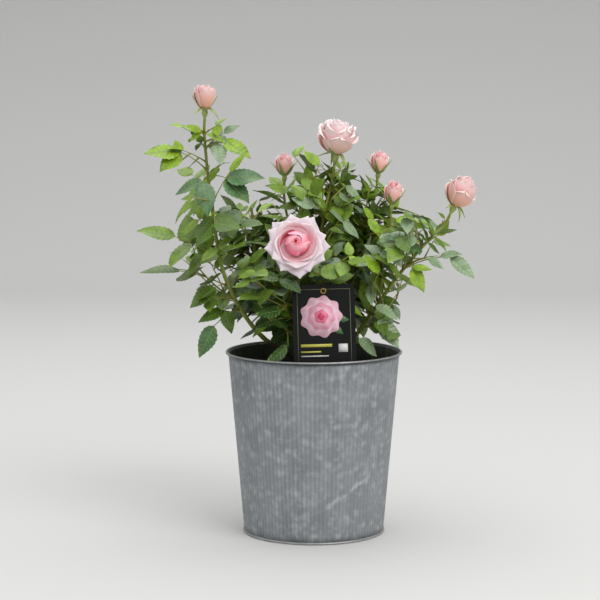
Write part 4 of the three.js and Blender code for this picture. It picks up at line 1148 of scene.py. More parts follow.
def grow_leaf(foot, tip, pairs, space, neighbours, random, spacing):
    """A whole leaf, or None where its rib would not fit, or fewer than two leaflets would."""
    length = np.linalg.norm(tip - foot)
    arch = bent_arch(foot, tip, LEAF_ARCH * length)
    rib = [arch(share) for share in (0, UPPER_PAIR_SHARE, END_SHARE)]
    if not space.is_clear(np.concatenate([line(rib[0], rib[1], 5), line(rib[1], rib[2], 2)])):
        return None
    outwards = unit(vec(tip[0], tip[1], 0))
    face = UP * FACE_UP + outwards * FACE_OUT
    face[0] += FACE_ROLL * (random() - 0.5)
    face[1] += FACE_ROLL * (random() - 0.5)
    heading = unit(arch(UPPER_PAIR_SHARE + 1e-4) - arch(UPPER_PAIR_SHARE - 1e-4))
    side = unit(np.cross(heading, face))
    leaflets = []

    def add_leaflet(share, place, way, leaflet_length):
        leaflet = leaflet_frame(place, way, face, leaflet_length)
        leaflet["share"] = share
        near = np.array([np.linalg.norm(other - leaflet["middle"]) for other in neighbours] or [1e9])
        if near.min() > spacing and leaflet_is_clear(leaflet, space):
            leaflets.append(leaflet)

    add_leaflet(END_SHARE, rib[2], tip - rib[2], (1 - END_SHARE) * length * END_STRETCH)
    lower = lerp(rib[0], rib[1], LOWER_PAIR_SHARE / UPPER_PAIR_SHARE)
    for share, place, size in [(UPPER_PAIR_SHARE, rib[1], UPPER_PAIR_SIZE),
                               (LOWER_PAIR_SHARE, lower, LOWER_PAIR_SIZE)][:pairs]:
        for hand in (-1, 1):
            way = side * hand + heading * PAIR_SWEEP
            way[2] -= PAIR_SAG * random()
            add_leaflet(share, place, way, size * length)
    if len(leaflets) < 2:
        return None
    neighbours.extend(leaflet["middle"] for leaflet in leaflets)
    return dict(arch=arch, leaflets=leaflets, foot=foot)


def bent_arch(foot, tip, rise):
    return curve(foot, (foot + tip) / 2 + UP * rise, tip)


def way_out(along, turn, rise):
    first = unit(vec(1, 0, 0) - along * along[0])
    out = first * math.cos(turn) + np.cross(along, first) * math.sin(turn)
    return unit(out * math.cos(rise) + along * math.sin(rise))


def leaves_along(places, cane, space, neighbours, seed, end_size, leafy_end, spacing=LEAFLET_SPACING,
                 phase=0.0, size=1.0):
    """Sets a leaf at every node of a stretch, each two fifths of a turn on from the last."""
    leaves = []
    last = len(places) - 1
    for i in range(1, last + 1):
        random = numbers_from(seed + i)
        place, along = places[i]
        full_length = size * cane["leaf_length"] * lerp(1, end_size, i / last)
        for attempt in range(LEAF_TRIES):
            turn = math.radians(cane["phase"]) + phase + i * LEAF_TURN + attempt * TRY_TURN
            draw = random()
            rise = math.radians(END_LEAF_RISE if i == last and leafy_end else lerp(*LEAF_RISE, draw))
            length = full_length * (1 - TRY_SHRINK * attempt)
            tip = place + way_out(along, turn, rise) * length
            tip[2] -= LEAF_SAG * length
            leaf = grow_leaf(place, tip, 1 if i == last else 2, space, neighbours, random, spacing)
            if leaf:
                leaves.append(leaf)
                break
    return leaves


def grow_twigs(places, cane, space, count, offset=0):
    twigs = []
    for i in range(count):
        share = (i + TWIG_OFFSET) / count * TWIG_SPAN
        place, along = places[nearest(share * (len(places) - 1))]
        for attempt in range(TWIG_TRIES):
            random = numbers_from(TWIG_SEEDS * cane["seed"] + NEXT_TWIG * i + attempt + offset)
            turn = math.radians(cane["phase"]) + (i + 0.5) * LEAF_TURN + attempt * TRY_TURN
            way = way_out(along, turn, math.radians(lerp(*TWIG_RISE, random())))
            reach = lerp(*TWIG_REACH, random())
            bend = place + way * 0.5 * reach
            tip = bend + unit(lerp(way, UP, TWIG_LIFT)) * 0.5 * reach
            if space.is_clear(np.concatenate([line(place, bend, 4), line(bend, tip, 4)])):
                twigs.append(Path(curve(place, bend, tip)))
                break
    return twigs


def places_along(path, first, last, steps):
    return [(path.place(share), path.along(share)) for share in np.linspace(first, last, steps + 1)]


def grow_mass(owner):
    """The leaves and limbs of one mass: those of the solid model first, then the finer ones."""
    cane = CANES[owner]
    path = CANE_PATHS[owner]
    space = Space(owner)
    neighbours = []
    nodes = nearest(path.length * (1 - cane["fork"]) / STEM_STEP)
    stem = places_along(path, cane["fork"], 1, nodes)
    limbs = []
    leaves = []
    for index, (share, tip, tone) in enumerate(cane["tips"]):
        random = numbers_from(TIP_SEEDS * cane["seed"] + index)
        start = stem[nearest(share * nodes)][0]
        leaf = grow_leaf(start, vec(*tip), 2, space, neighbours, random, LEAFLET_SPACING)
        if leaf and tone:
            leaf["tone"] = tone
            leaves.append(leaf)
    stride = max(1, nearest(cane["internode"] / STEM_STEP))
    has_tip = cane["flower"] is None
    sites = [place for i, place in enumerate(stem) if i % stride == 0 and (has_tip or i < nodes)]
    stem_seed = STEM_SEEDS * cane["seed"]
    leaves += leaves_along(sites, cane, space, neighbours, stem_seed, STEM_END_SIZE, has_tip)
    for index, (share, bend, flower) in enumerate(cane.get("shoots", [])):
        shoot = path_to_end([stem[nearest(share * nodes)][0], vec(*bend)], flower)
        count = nearest(shoot.length / STEM_STEP)
        shoot_sites = [place for i, place in enumerate(places_along(shoot, 0, 1, count))
                       if i % stride == 0 and i < count]
        limbs.append((shoot, *SHOOT_RADII, True))
        seed = stem_seed + NEXT_STRETCH * (index + 1)
        leaves += leaves_along(shoot_sites, cane, space, neighbours, seed, STEM_END_SIZE, False)
    twigs = grow_twigs(stem, cane, space, cane["twigs"])
    for index, twig in enumerate(twigs):
        limbs.append((twig, *TWIG_RADII, False))
        seed = TWIG_LEAF_SEEDS * cane["seed"] + NEXT_STRETCH * index
        leaves += leaves_along(places_along(twig, 0, 1, TWIG_STEPS), cane, space, neighbours, seed,
                               TWIG_END_SIZE, True)
    finer_limbs, finer_leaves = grow_finer(cane, stem, twigs, owner, neighbours)
    return limbs + finer_limbs, leaves + finer_leaves


def placed_leaf(path, height, stalk_end, tone, tips):
    """A listed leaf, whose leaflets all spread from the end of its stalk."""
    foot = next(place for place in map(path.place, LIMB_SHARES) if place[2] >= height)
    end = vec(*stalk_end)
    leaflets = []
    for tip in tips:
        way = vec(*tip) - end
        leaflet = leaflet_frame(end, way, vec(*LIGHT_WAY), np.linalg.norm(way) / LEAFLET_GROWTH)
        leaflet["share"] = 1
        leaflets.append(leaflet)
    arch = bent_arch(foot, end, LEAF_ARCH * np.linalg.norm(end - foot))
    return dict(arch=arch, leaflets=leaflets, foot=foot, tone=tone)


def grow_finer(cane, stem, twigs, owner, neighbours):
    """More leaves at the same nodes, and more twigs with leaves, within the same reach."""
    space = Space(owner, fine=True)
    seed = FINE_SEEDS + STEM_SEEDS * cane["seed"]

    def fine_leaves(places, offset, end_size, leafy_end, phase):
        return leaves_along(places, cane, space, neighbours, seed + offset, end_size, leafy_end,
                            FINE_SPACING, phase, FINE_SIZE)
    limbs = []
    leaves = []
    for turn in range(cane.get("fine_turns", 3)):
        leaves += fine_leaves(stem[1:-1], 3 * FINE_SEEDS * turn, STEM_END_SIZE, False, FINE_TURN * (turn + 1))
    for index, twig in enumerate(twigs):
        places = places_along(twig, 0, FINE_STRETCH, FINE_TWIG_STEPS)
        leaves += fine_leaves(places, FINE_SEEDS + NEXT_STRETCH * index, TWIG_END_SIZE, False, FINE_TURN)
    for index, twig in enumerate(grow_twigs(stem, cane, space, cane["fine_twigs"], FINE_SEEDS)):
        places = places_along(twig, 0, 1, FINE_TWIG_STEPS)
        grown = fine_leaves(places, 2 * FINE_SEEDS + NEXT_STRETCH * index, TWIG_END_SIZE, True, 0.0)
        if grown:
            limbs.append((twig, *FINE_TWIG_RADII, False))
        leaves += grown
    return limbs, leaves


def leafy_share(path, feet):
    """How far along a twig its last drawn leaf sits."""
    places = np.array([path.place(share) for share in LIMB_SHARES])
    near = np.linalg.norm(places[:, None] - np.array(feet), axis=2).min(axis=1) < TWIG_STEP / 2
    return LIMB_SHARES[np.flatnonzero(near)].max(initial=0)


# Leaflet shapes

TEETH = 8
LEAFLET_ROWS = 2 * TEETH + 1
TOP_COLUMNS = np.array([-1, -0.52, 0, 0.52, 1])
UNDER_COLUMNS = np.array([-1, 0, 1])
LEAF_THICKNESS = 0.35
FOOT_POWER = 0.62
TIP_POWER = 1.08
TOOTH_DEPTH = 0.055
VEIN_LIFT = 0.16

# How much drawn leaflets vary, drawn in this order
LEAFLET_RANGES = {"width": (0.68, 0.94), "sag": (-0.03, 0.1), "cup": (-0.25, 0.5), "wave": (-1, 1),
                  "turn": (0, 6)}


def egg(along):
    return along ** FOOT_POWER * (1 - along) ** TIP_POWER


def half_width(along):
    """A leaflet's half width as a share of its length: egg-shaped, with a saw edge of pointed teeth."""
    widest = egg(FOOT_POWER / (FOOT_POWER + TIP_POWER))
    tooth = 1 - TOOTH_DEPTH * np.cos(math.pi * along * (LEAFLET_ROWS - 1))
    return LEAFLET_SLIMNESS / 2 * egg(along) / widest * tooth


def leaflet_places(batch, along, across, lift):
    """Places on every leaflet at shares along and across it, raised off its surface by a lift."""
    length = batch["length"][:, None, None]
    outer = across * half_width(along) * batch["width"][:, None]
    rise = 0.2 * np.abs(outer) - 0.1 * outer ** 2 / 0.38
    ridges = -0.012 * np.cos(math.pi * along * (LEAFLET_ROWS - 1)) * (1 - along)
    quilt = ridges * (np.abs(across) * (1 - np.abs(across))) * 4
    sag = (-LEAFLET_DROOP * along ** 2 - batch["sag"][:, None] * along ** 2
           - batch["cup"][:, None] * outer ** 2)
    wave = batch["wave"][:, None] * np.sin(7 * along + batch["turn"][:, None]) * np.abs(across) ** 2 * 0.035
    height = rise + quilt + sag + wave
    hooked = along + 0.018 * np.abs(across) ** 3
    return (batch["foot"][:, None]
            + batch["along"][:, None] * hooked[None, :, None] * length
            + batch["side"][:, None] * outer[:, :, None] * length
            + batch["lift"][:, None] * (height[:, :, None] * length + lift[None, :, None]))


def batch_of(leaflets, seed):
    random = np.random.default_rng(seed)
    batch = {key: np.array([leaflet[key] for leaflet in leaflets])
             for key in ("foot", "along", "lift", "length")}
    batch["length"] = batch["length"] * LEAFLET_GROWTH
    side = np.cross(batch["along"], batch["lift"] + TURN_TO_LIGHT * unit(vec(*LIGHT_WAY)))
    batch["side"] = side / np.linalg.norm(side, axis=1, keepdims=True)
    batch["lift"] = np.cross(batch["side"], batch["along"])
    for name, limits in LEAFLET_RANGES.items():
        batch[name] = random.uniform(*limits, len(leaflets))
    return batch


def add_to_each(parts, places, faces):
    """Adds the same faces for every leaflet to its own places."""
    starts = np.arange(len(places)) * places.shape[1]
    parts.add(places, [(faces[None] + starts[:, None, None]).reshape(-1, 4)])


def add_sheets(parts, batch, columns, lift, flip):
    """One grid for each leaflet, whose rim lies on the leaflet's edge and whose middle is lifted."""
    along = np.linspace(0, 1, LEAFLET_ROWS)
    grid_along, grid_across = (a.ravel() for a in np.meshgrid(along, columns, indexing="ij"))
    raised = lift * (1 - np.abs(grid_across)) * np.sin(math.pi * grid_along) ** 0.3
    places = leaflet_places(batch, grid_along, grid_across, raised)
    faces = grid_faces(LEAFLET_ROWS, len(columns))
    add_to_each(parts, places, faces[:, ::-1] if flip else faces)


def add_veins(parts, batch):
    """A midrib and side veins, slim ridges that stand a little above each leaflet."""
    along = np.linspace(0.0, 0.94, 9)
    width = lerp(0.045, 0.012, along) / half_width(np.clip(along, 0.04, 1)) / 2
    strips = [(np.concatenate([along, along]), np.concatenate([-width, width]), 9)]
    for tooth in range(1, TEETH - 1):
        for hand in (-1, 1):
            start = (tooth - 0.4) / TEETH
            end = (tooth + 0.5) / TEETH
            share = np.array([start, lerp(start, end, 0.55), end])
            out = hand * np.array([0.02, 0.5, 0.86])
            strips.append((np.concatenate([share, share + 0.014]), np.concatenate([out, out]), 3))
    for share, across, count in strips:
        places = leaflet_places(batch, share, across, np.full(len(share), VEIN_LIFT))
        add_to_each(parts, places, grid_faces(2, count))


# Shares of leaves that take the pale tone of painted sheen, overall and on the right
PAINTED_SHEEN_SHARE = 0.09
PAINTED_SHEEN_SHARE_RIGHT = 0.2
RIGHT_SIDE = 30
CROWN_RISE = 280
CROWN_REACH = 190
TONE_LIMITS = [("deep", 0.36), ("mid", 0.54), ("fresh", 0.74)]


def tone_of(leaf, cane, random):
    """Leaves are fresher higher up and further out, and some take painted sky sheen by chance, more on the
    right.
    """
    if "tone" in leaf:
        return leaf["tone"]
    place = leaf["leaflets"][0]["middle"]
    painted_sheen_share = PAINTED_SHEEN_SHARE_RIGHT if place[0] > RIGHT_SIDE else PAINTED_SHEEN_SHARE
    height = (place[2] - SOIL_LEVEL) / CROWN_RISE
    out = math.hypot(place[0], place[1]) / CROWN_REACH
    youth = 0.42 * height + 0.16 * out + cane["young"] + 0.5 * random()
    if random() < painted_sheen_share:
        return "silvery"
    for tone, limit in TONE_LIMITS:
        if youth < limit:
            return tone
    return "lime"


def make_foliage():
    masses = [grow_mass(owner) for owner in range(len(CANES))]
    toned = {tone: [] for tone in LEAF_TONES}
    stems = Parts()
    stalks = Parts()
    for owner, (limbs, leaves) in enumerate(masses):
        cane = CANES[owner]
        path = CANE_PATHS[owner]
        shares = np.linspace(cane["fork"], 1, 60)
        add_limb(stems, path, shares, [cane_radius(share) for share in shares], 12)
        feet = []
        random = numbers_from(cane["seed"])
        placed = [placed_leaf(path, *rest) for name, *rest in PLACED_LEAVES if name == cane["name"]]
        for leaf in leaves + placed:
            tone = tone_of(leaf, cane, random)
            kept = [leaflet for leaflet in leaf["leaflets"]
                    if keeps_to_box(leaflet) and not hides_label(leaflet)]
            if "tone" not in leaf:
                kept = [leaflet for leaflet in kept if not is_in_the_way(leaflet)]
            if not kept:
                continue
            toned[tone] += kept
            shares = np.linspace(0, max(leaflet["share"] for leaflet in kept), len(LEAF_STALK_RADII))
            stalks.add(*tube([leaf["arch"](share) for share in shares], LEAF_STALK_RADII, 6))
            add_stipules(stalks, leaf)
            feet.append(leaf["foot"])
        for limb_path, low, high, has_flower in limbs:
            end = 1 if has_flower else leafy_share(limb_path, feet)
            if end > 0:
                shares = np.linspace(0, 1, 16)
                add_limb(stems, limb_path, end * shares, lerp(low, high, shares), 8)
    nodes = [f"foliage_{cane['name']}" for cane in CANES]
    piece("leafy_stems", stems, YOUNG_BARK, nodes)
    piece("leaf_stalks", stalks, STALK)
    under = Parts()
    veins = Parts()
    for seed, (tone, leaflets) in enumerate(toned.items()):
        batch = batch_of(leaflets, seed)
        top = Parts()
        add_sheets(top, batch, TOP_COLUMNS, 0.0, True)
        add_sheets(under, batch, UNDER_COLUMNS, -LEAF_THICKNESS, False)
        add_veins(veins, batch)
        piece(f"leaves_{tone}", top, LEAF_TONES[tone])
    piece("leaf_undersides", under, UNDERSIDE)
    piece("leaf_veins", veins, VEIN)


def add_limb(parts, path, shares, radii, sides):
    """A limb with a slight swelling at every leaf's node."""
    centres = [path.place(share) for share in shares]
    swollen = [radius * (1 + 0.12 * math.exp(-((share * path.length / STEM_STEP + 0.5) % 1 - 0.5) ** 2 * 90))
               for share, radius in zip(shares, radii)]
    parts.add(*tube(centres, swollen, sides))


def add_stipules(parts, leaf):
    """Two small pointed wings where a leaf's stalk leaves its stem."""
    foot = leaf["foot"]
    along = unit(leaf["arch"](0.1) - foot)
    side = unit(np.cross(along, UP + vec(0.01, 0.02, 0)))
    lift = np.cross(side, along)
    for hand in (-1, 1):
        outline = [(0, 0), (5, 1.9), (10, 2.2), (8.5, 1.1), (6, 0.5)]
        top = [foot + along * a + side * hand * b + lift * 0.3 for a, b in outline]
        low = [place - lift * 0.25 for place in top]
        count = len(outline)
        ring = [(i, (i + 1) % count, (i + 1) % count + count, i + count) for i in range(count)]
        parts.add(top + low, [ring, [(0, 1, 2), (0, 2, 3), (0, 3, 4)], [(7, 6, 5), (8, 7, 5), (9, 8, 5)]])


# Canes, root knuckle and prickles

def make_canes():
    """The bare canes, ridged a little along their length, and the knuckle that they rise from."""
    canes = Parts()
    for cane, path in zip(CANES, CANE_PATHS):
        shares = np.linspace(0, cane["fork"] + 0.004, BARK_RINGS)
        radii = [cane_radius(share) for share in shares]
        centres = [path.place(share) for share in shares]
        places, faces = tube(centres, radii, BARK_SIDES)
        body = places[:-2].reshape(BARK_RINGS, BARK_SIDES, 3)
        for row, centre in enumerate(centres):
            node = 1 + 0.14 * math.exp(-((row / 9) % 1 - 0.5) ** 2 * 80)
            for k in range(BARK_SIDES):
                spot = Vector(body[row, k])
                rough = 1 + 0.09 * noise.noise(Vector((spot.x, spot.y, spot.z * 0.3)) * 0.9)
                body[row, k] = centre + (body[row, k] - centre) * rough * node
        canes.add(places, faces)
    nodes = [f"cane_{cane['name']}" for cane in CANES]
    piece("cane_bark", canes, OLD_BARK, nodes)

    knuckle = Parts()
    profile = [(0, -1), (CROWN_FOOT_RADIUS, -1), (12.4, 2.5), (10.6, 5.5), (10.4, 9), (10.9, 12), (9.4, 15),
               (6, 16.8), (0, CROWN_HEIGHT)]
    places, faces = turned([(radius, SOIL_LEVEL + rise) for radius, rise in profile], CROWN_SIDES)
    for place in places:
        place[:2] *= lumpy(Vector(place), CROWN_LUMPS, 1)
        place[1] += CROWN_CENTRE_Y
    knuckle.add(places, faces)
    piece("root_knuckle", knuckle, OLD_BARK, ["root_crown"])


def make_prickles():
    """Hooked prickles, strewn over the lower canes and stems by a node tree."""
    skin = Parts()
    for cane, path in zip(CANES, CANE_PATHS):
        shares = np.linspace(0.05, 0.8, 50)
        skin.add(*tube([path.place(s) for s in shares], [cane_radius(s) - 0.2 for s in shares], 8))
    sizes = {"Prickles": 2600.0, "Length": 3.6 * MM, "Thickness": 0.85 * MM, "Hook": 0.25, "Seed": 11}
    nodes, given = new_tree("cane prickles", sizes)
    strewn = nodes.add("GeometryNodeDistributePointsOnFaces", {
        "Mesh": given["Geometry"], "Density": given["Prickles"], "Seed": given["Seed"]})
    cone = nodes.add("GeometryNodeMeshCone", {
        "Vertices": 6, "Side Segments": 4, "Radius Top": 0.0, "Radius Bottom": given["Thickness"],
        "Depth": given["Length"]}).outputs["Mesh"]
    spot = nodes.add("GeometryNodeInputPosition").outputs[0]
    share = nodes.maths("DIVIDE", nodes.split(spot)["Z"], given["Length"])
    hook = nodes.maths("MULTIPLY", nodes.maths("MULTIPLY", share, share), nodes.maths(
        "MULTIPLY", given["Hook"], given["Length"]))
    shift = nodes.add("ShaderNodeCombineXYZ", {"X": nodes.maths("MULTIPLY", hook, -1.0)}).outputs[0]
    hooked = nodes.add("GeometryNodeSetPosition", {"Geometry": cone, "Offset": shift}).outputs[0]
    turn = nodes.add("FunctionNodeAxesToRotation", {
        "Primary Axis": strewn.outputs["Normal"], "Secondary Axis": (0.0, 0.0, 1.0)},
        primary_axis="Z", secondary_axis="X").outputs[0]
    size = nodes.add("FunctionNodeRandomValue", {2: 0.5, 3: 1.0, "Seed": 4}, data_type="FLOAT").outputs[1]
    prickles = nodes.add("GeometryNodeInstanceOnPoints", {
        "Points": strewn.outputs["Points"], "Instance": hooked, "Rotation": turn, "Scale": size}).outputs[0]
    tree = close_tree(nodes, prickles, PRICKLE)
    piece("prickles", grown_by(tree, skin.mesh("cane skin"), sizes), PRICKLE)


# Flowers, each built with its stalk's foot at the origin and its axis along +Z

def flower_frame(name):
    foot, along = flower_foot(name)
    turn = Vector((0, 0, 1)).rotation_difference(Vector(along)).to_matrix()
    return foot, np.array(turn)


def petal_stop(kind, depth):
    stops = np.array(kind["stops"], float)
    return [np.interp(depth, stops[:, 0], stops[:, column]) for column in range(1, stops.shape[1])]


def bent_line(lean, length):
    """How far out and how far up the places of a line of even steps lie, from the lean of each step."""
    step = length / (len(lean) - 1)
    return [np.concatenate(([0], np.cumsum(way(lean)[:-1]))) * step for way in (np.sin, np.cos)]


def petal_places(kind, depth, base_height, turn, random):
    """A petal's grid: its middle line bends by its angles, and its sides wrap round or roll back."""
    length, half, low, high, roll, wrap, point = petal_stop(kind, depth)
    length *= random.uniform(0.95, 1.04)
    low += random.uniform(-4, 4)
    high += random.uniform(-7, 7)
    if depth == 0:
        roll += kind["flick"]
    along = np.linspace(0, 1, PETAL_ROWS)
    across = np.linspace(-1, 1, PETAL_COLUMNS)
    lean = lerp(low, high, along ** kind["curl"]) + roll * np.clip((along - 0.62) / 0.38, 0, 1) ** 2
    lean = np.radians(lean)
    out, up = bent_line(lean, length)
    radius = np.maximum(2.2 + out, 0.6)
    height = base_height + up
    claw = np.clip(along / 0.62, 0, 1) ** 0.62
    end = np.clip((along - 0.62) / 0.38, 0, 1)
    width = half * np.maximum(claw * (1 - end ** lerp(2.8, 1.4, point)) ** lerp(0.6, 1.15, point), 0.03)
    frill = 1 + 0.05 * np.sin(random.uniform(0, 6) + 5 * along)
    side = across[None, :] * (width * frill)[:, None]
    swirl = 0.1 * wrap * side
    around = side / np.maximum(radius, 4.5)[:, None]
    wrapped_radius = radius[:, None] + swirl
    wrapped = (wrapped_radius * np.cos(around), wrapped_radius * np.sin(around))
    flat = (radius[:, None] + 0 * side, side)
    x = lerp(flat[0], wrapped[0], wrap)
    y = lerp(flat[1], wrapped[1], wrap)
    z = np.broadcast_to(height[:, None], x.shape).copy()
    fold = np.clip(np.abs(across) - 0.45, 0, 1)[None, :] ** 2
    back = point * half * 0.42 * fold * 3 * (along ** 2)[:, None]
    x = x + back * np.cos(lean)[:, None] * 0.8
    z = z - back * np.sin(lean)[:, None]
    waves = np.sin(6 * across[None, :] + random.uniform(0, 6))
    z = z + kind["ruffle"] * half * waves * (along ** 3)[:, None]
    cos, sin = math.cos(turn), math.sin(turn)
    places = np.stack([x * cos - y * sin, x * sin + y * cos, z], axis=2).reshape(-1, 3)
    return places, np.repeat(along, PETAL_COLUMNS), np.tile(np.abs(across), PETAL_ROWS)


def make_flower(name, look):
    kind = FLOWER_KINDS[FLOWERS[name]["kind"]]
    foot, matrix = flower_frame(name)
    random = np.random.default_rng(len(name) * 7 + kind["petals"])
    base_height = PEDICEL_LENGTH + 2.4 * kind["hip"] - 1
    petals = Parts()
    faces = grid_faces(PETAL_ROWS, PETAL_COLUMNS)
    for index in range(kind["petals"]):
        depth = index / (kind["petals"] - 1)
        turn = index * PETAL_TURN + random.uniform(-0.12, 0.12)
        places, along, across = petal_places(kind, depth, base_height + 1.5 * depth, turn, random)
        petals.add(places @ matrix.T + foot, [faces], depth=depth, along=along, across=across)
    if name == "open_rose":
        places, heart = turned([(0, 26), (3, 27), (3.2, 31), (2.6, 34), (1.6, 35.8), (0, 36.5)], 16)
        petals.add(places @ matrix.T + foot, heart, depth=1, along=0, across=0)
    made = piece(f"{name}_petals", petals, look, [name])
    sheet = made.modifiers.new("thickness", "SOLIDIFY")
    sheet.thickness = PETAL_THICKNESS * MM
    sheet.offset = 0
    smooth = made.modifiers.new("smooth", "SUBSURF")
    smooth.levels = 1
    smooth.render_levels = 1


def add_sepals(parts, name):
    """The hip under a flower, its stalk, and its five narrow sepals."""
    kind = FLOWER_KINDS[FLOWERS[name]["kind"]]
    foot, matrix = flower_frame(name)
    random = np.random.default_rng(len(name))
    hip = kind["hip"]
    top = PEDICEL_LENGTH + 2.4 * hip
    profile = [(0, -0.3), (CANE_TIP_RADIUS, -0.3), (CANE_TIP_RADIUS, 0.7 * PEDICEL_LENGTH),
               (0.72 * hip, PEDICEL_LENGTH + 0.25 * hip), (hip, PEDICEL_LENGTH + hip),
               (0.96 * hip, PEDICEL_LENGTH + 1.6 * hip), (0.74 * hip, PEDICEL_LENGTH + 2.1 * hip),
               (0.95 * hip, top), (0, top + 0.4)]
    places, faces = turned(profile, 20)
    parts.add(places @ matrix.T + foot, faces)
    rows, columns = 11, 5
    along = np.linspace(0, 1, rows)
    petal, _, low, high, _, _, _ = petal_stop(kind, 0)
    for index, bend in enumerate(kind["bends"]):
        turn = 2 * math.pi * index / SEPALS + 0.5
        length = kind["sepal"] * random.uniform(0.9, 1.12)
        hugging = lerp(low, high, (along * length / petal) ** kind["curl"])
        lean = np.radians(hugging + bend * along ** (2 if bend < 80 else 0.5))
        out, up = bent_line(lean, length)
        radius = 0.85 * hip + out
        height = top - 0.4 * hip + up
        half = 0.18 * kind["sepal"] * np.maximum((1 - along) ** 0.9 * np.minimum(1, 0.75 + 2 * along), 0.03)
        across = np.linspace(-1, 1, columns)
        side = across[None, :] * half[:, None]
        cupped = 0.35 * np.abs(side)
        x = radius[:, None] - cupped * np.cos(lean)[:, None]
        z = height[:, None] + cupped * np.sin(lean)[:, None]
        cos, sin = math.cos(turn), math.sin(turn)
        sheet = np.stack([x * cos - side * sin, x * sin + side * cos, z], axis=2).reshape(-1, 3)
        normal = np.stack([np.cos(lean) * cos, np.cos(lean) * sin, -np.sin(lean)], axis=1)
        inner = sheet - np.repeat(normal, columns, axis=0) * 0.5
        both = np.concatenate([sheet, inner])
        shell = grid_faces(rows, columns)
        count = rows * columns
        rim = [i * columns for i in range(rows)]
        rim += [(rows - 1) * columns + k for k in range(1, columns)]
        rim += [i * columns + columns - 1 for i in range(rows - 2, -1, -1)]
        rim += list(range(columns - 2, 0, -1))
        wall = [(rim[i], rim[(i + 1) % len(rim)], rim[(i + 1) % len(rim)] + count, rim[i] + count)
                for i in range(len(rim))]
        parts.add(both @ matrix.T + foot, [shell, shell[:, ::-1] + count, np.array(wall)[:, ::-1]])


def make_flowers():
    looks = {"open": OPEN_PETAL, "cup": CUP_PETAL, "globe": BUD_PETAL, "bud": BUD_PETAL,
             "small": SMALL_PETAL}
    sepals = Parts()
    for name, flower in FLOWERS.items():
        make_flower(name, looks[flower["kind"]])
        add_sepals(sepals, name)
    piece("sepals_and_hips", sepals, SEPAL)


# Plant label

def on_label(right, up, out):
    return vec(*LABEL_TOP) + right * LABEL_AXES[0] + up * LABEL_AXES[1] + out * LABEL_AXES[2]


def add_inlay(parts, outline, out):
    """A thin flat shape on the label's face, from an outline of (right, up) that turns anticlockwise."""
    count = len(outline)
    ring = [*outline, np.mean(outline, axis=0)]
    top, low = ([on_label(a, b, LABEL_FRONT + out + rise) for a, b in ring] for rise in (INLAY_THICKNESS, 0))
    side = np.arange(count)
    after = (side + 1) % count
    fan = np.stack([np.full(count, count), side, after], axis=1)
    under = np.stack([np.full(count, count), after, side], axis=1) + count + 1
    wall = np.stack([after, side, side + count + 1, after + count + 1], axis=1)
    parts.add(top + low, [fan, under, wall])


def bar(left, low, width, height):
    return [(left, low), (left + width, low), (left + width, low + height), (left, low + height)]


def scalloped(centre, radius, scallops, turn):
    turns = np.linspace(0, 2 * math.pi, 72, endpoint=False)
    radii = radius * (1 - SCALLOP_DEPTH * (0.5 - 0.5 * np.cos(scallops * turns)))
    return [(centre[0] + r * math.cos(t + turn), centre[1] + r * math.sin(t + turn))
            for r, t in zip(radii, turns)]


def make_label():
    """A black card with an olive frame line, a stylised rosette and plain bars, of a general design."""
    card = bpy.data.objects["plant_label"]
    for place in card.material_slots:
        place.material = CARD
    frame_line = Parts()
    left, low, thick = FRAME_INSET - LABEL_WIDTH / 2, FRAME_LOW, FRAME_THICKNESS
    width, height = -2 * left, -low - FRAME_INSET
    for outline in (bar(left, low, thick, height), bar(-left - thick, low, thick, height),
                    bar(left, -FRAME_INSET - thick, width, thick), bar(left, low, width, thick)):
        add_inlay(frame_line, outline, INLAY_LIFT)
    piece("label_frame_line", frame_line, CARD_OLIVE)

    ring = Parts()
    places = []
    around = np.linspace(0, 2 * math.pi, EYELET_SIDES, endpoint=False)
    for t in np.linspace(0, 2 * math.pi, EYELET_STEPS, endpoint=False):
        right, up = EYELET_RADIUS * math.cos(t), EYELET_RADIUS * math.sin(t)
        centre = on_label(right, up - LABEL_HOLE_DROP, LABEL_FRONT)
        out = LABEL_AXES[0] * math.cos(t) + LABEL_AXES[1] * math.sin(t)
        places.append([centre + 0.6 * math.cos(a) * out + 0.45 * math.sin(a) * LABEL_AXES[2] for a in around])
    ring.add(places, looped_faces(EYELET_STEPS, EYELET_SIDES))
    piece("label_eyelet", ring, CARD_GOLD)

    centre = vec(-3, -35)
    for index, look in enumerate(CARD_PINKS):
        petals = Parts()
        outline = scalloped(centre, 23.5 - 3.9 * index, 9 - index, 0.35 * index)
        add_inlay(petals, outline, INLAY_LIFT + 0.13 * index)
        piece(f"label_rosette_{index}", petals, look)
    leaves = Parts()
    for turn in (-40, -8):
        way = vec(math.cos(math.radians(turn)), math.sin(math.radians(turn)))
        side = 4 * vec(-way[1], way[0])
        root, tip = centre + 17 * way, centre + 31 * way
        middle = (root + tip) / 2
        add_inlay(leaves, [root, middle - side, tip, middle + side], 0.01)
    piece("label_leaves", leaves, CARD_LEAF)
    for name, look, bars in (
            ("label_yellow_bars", CARD_YELLOW, [(-26, -68, 34, 3.2), (-26, -74, 22, 1.6)]),
            ("label_white_bars", CARD_WHITE, [(15, -74, 10, 9), (-26, -78.5, 30, 1.3)])):
        shapes = Parts()
        for sizes in bars:
            add_inlay(shapes, bar(*sizes), INLAY_LIFT)
        piece(name, shapes, look)


# Floor, light and camera

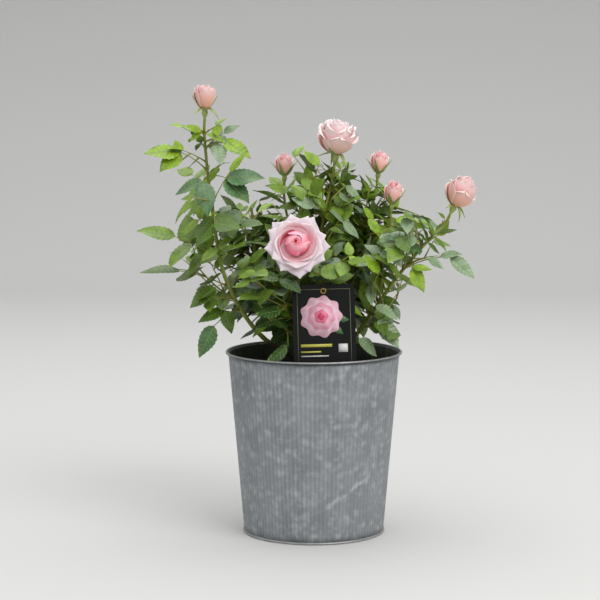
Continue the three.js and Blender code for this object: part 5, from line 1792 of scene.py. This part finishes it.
def make_stage():
    floor = Parts()
    width, front, back, height, bend = 3500, -3300, 3300, 3400, 800
    turns = np.linspace(0, math.pi / 2, 13)
    profile = [(front, 0)] + [(back - bend + bend * math.sin(t), bend - bend * math.cos(t)) for t in turns]
    profile.append((back, height))
    rows = np.array([[(x, y, z) for x in (-width, width)] for y, z in profile])
    floor.add(rows, [grid_faces(len(profile), 2)[:, ::-1]])
    mesh = floor.mesh("floor")
    pale = bpy.data.materials.new("pale floor")
    pale.use_nodes = True
    pale.node_tree.nodes["Principled BSDF"].inputs["Base Color"].default_value = (0.6, 0.59, 0.57, 1)
    pale.node_tree.nodes["Principled BSDF"].inputs["Roughness"].default_value = 0.9
    mesh.materials.append(pale)
    made = bpy.data.objects.new("floor", mesh)
    bpy.context.collection.objects.link(made)


def add_light(name, place, target, size, power, colour):
    data = bpy.data.lights.new(name, "AREA")
    data.size = size
    data.energy = power
    data.color = colour
    lamp = bpy.data.objects.new(name, data)
    lamp.location = place
    lamp.rotation_euler = (Vector(target) - Vector(place)).to_track_quat("-Z", "Y").to_euler()
    bpy.context.collection.objects.link(lamp)


def make_light():
    """A soft studio that is brighter overhead than at the horizon, with three wide lamps."""
    world = bpy.data.worlds.new("studio")
    world.use_nodes = True
    sky = world.node_tree.nodes["Background"]
    sky.inputs["Color"].default_value = (0.95, 0.98, 1, 1)
    nodes = Nodes(world.node_tree)
    way = nodes.add("ShaderNodeTexCoord").outputs["Generated"]
    glow = nodes.rise(nodes.split(way)["Z"], 0.1, 1.0, 0.9)
    nodes.put(sky.inputs["Strength"], nodes.maths("ADD", 0.32, glow))
    bpy.context.scene.world = world
    bpy.context.scene.view_settings.view_transform = "Standard"
    middle = (0, 0, 0.28)
    add_light("key", (1.1, -1.5, 1.9), middle, 1.5, 29, (1, 0.99, 0.97))
    add_light("fill", (-0.9, -1.9, 0.7), middle, 1.2, 1.5, (1, 0.98, 0.94))
    add_light("overhead", (-0.2, 0.9, 2.3), middle, 2.4, 22, (0.97, 0.99, 1))


LENS = 120
SENSOR_WIDTH = 36
SIGHT = 20


def make_camera():
    data = bpy.data.cameras.new("camera")
    data.lens = LENS
    data.sensor_width = SENSOR_WIDTH
    data.clip_end = SIGHT
    eye = bpy.data.objects.new("camera", data)
    eye.location = vec(*EYE) * MM
    eye.rotation_euler = (math.radians(90 - EYE_DROP), 0, 0)
    bpy.context.collection.objects.link(eye)
    bpy.context.scene.camera = eye


make_camera()
make_light()
make_stage()
make_pot()
make_compost()
make_canes()
make_prickles()
make_foliage()
make_flowers()
make_label()
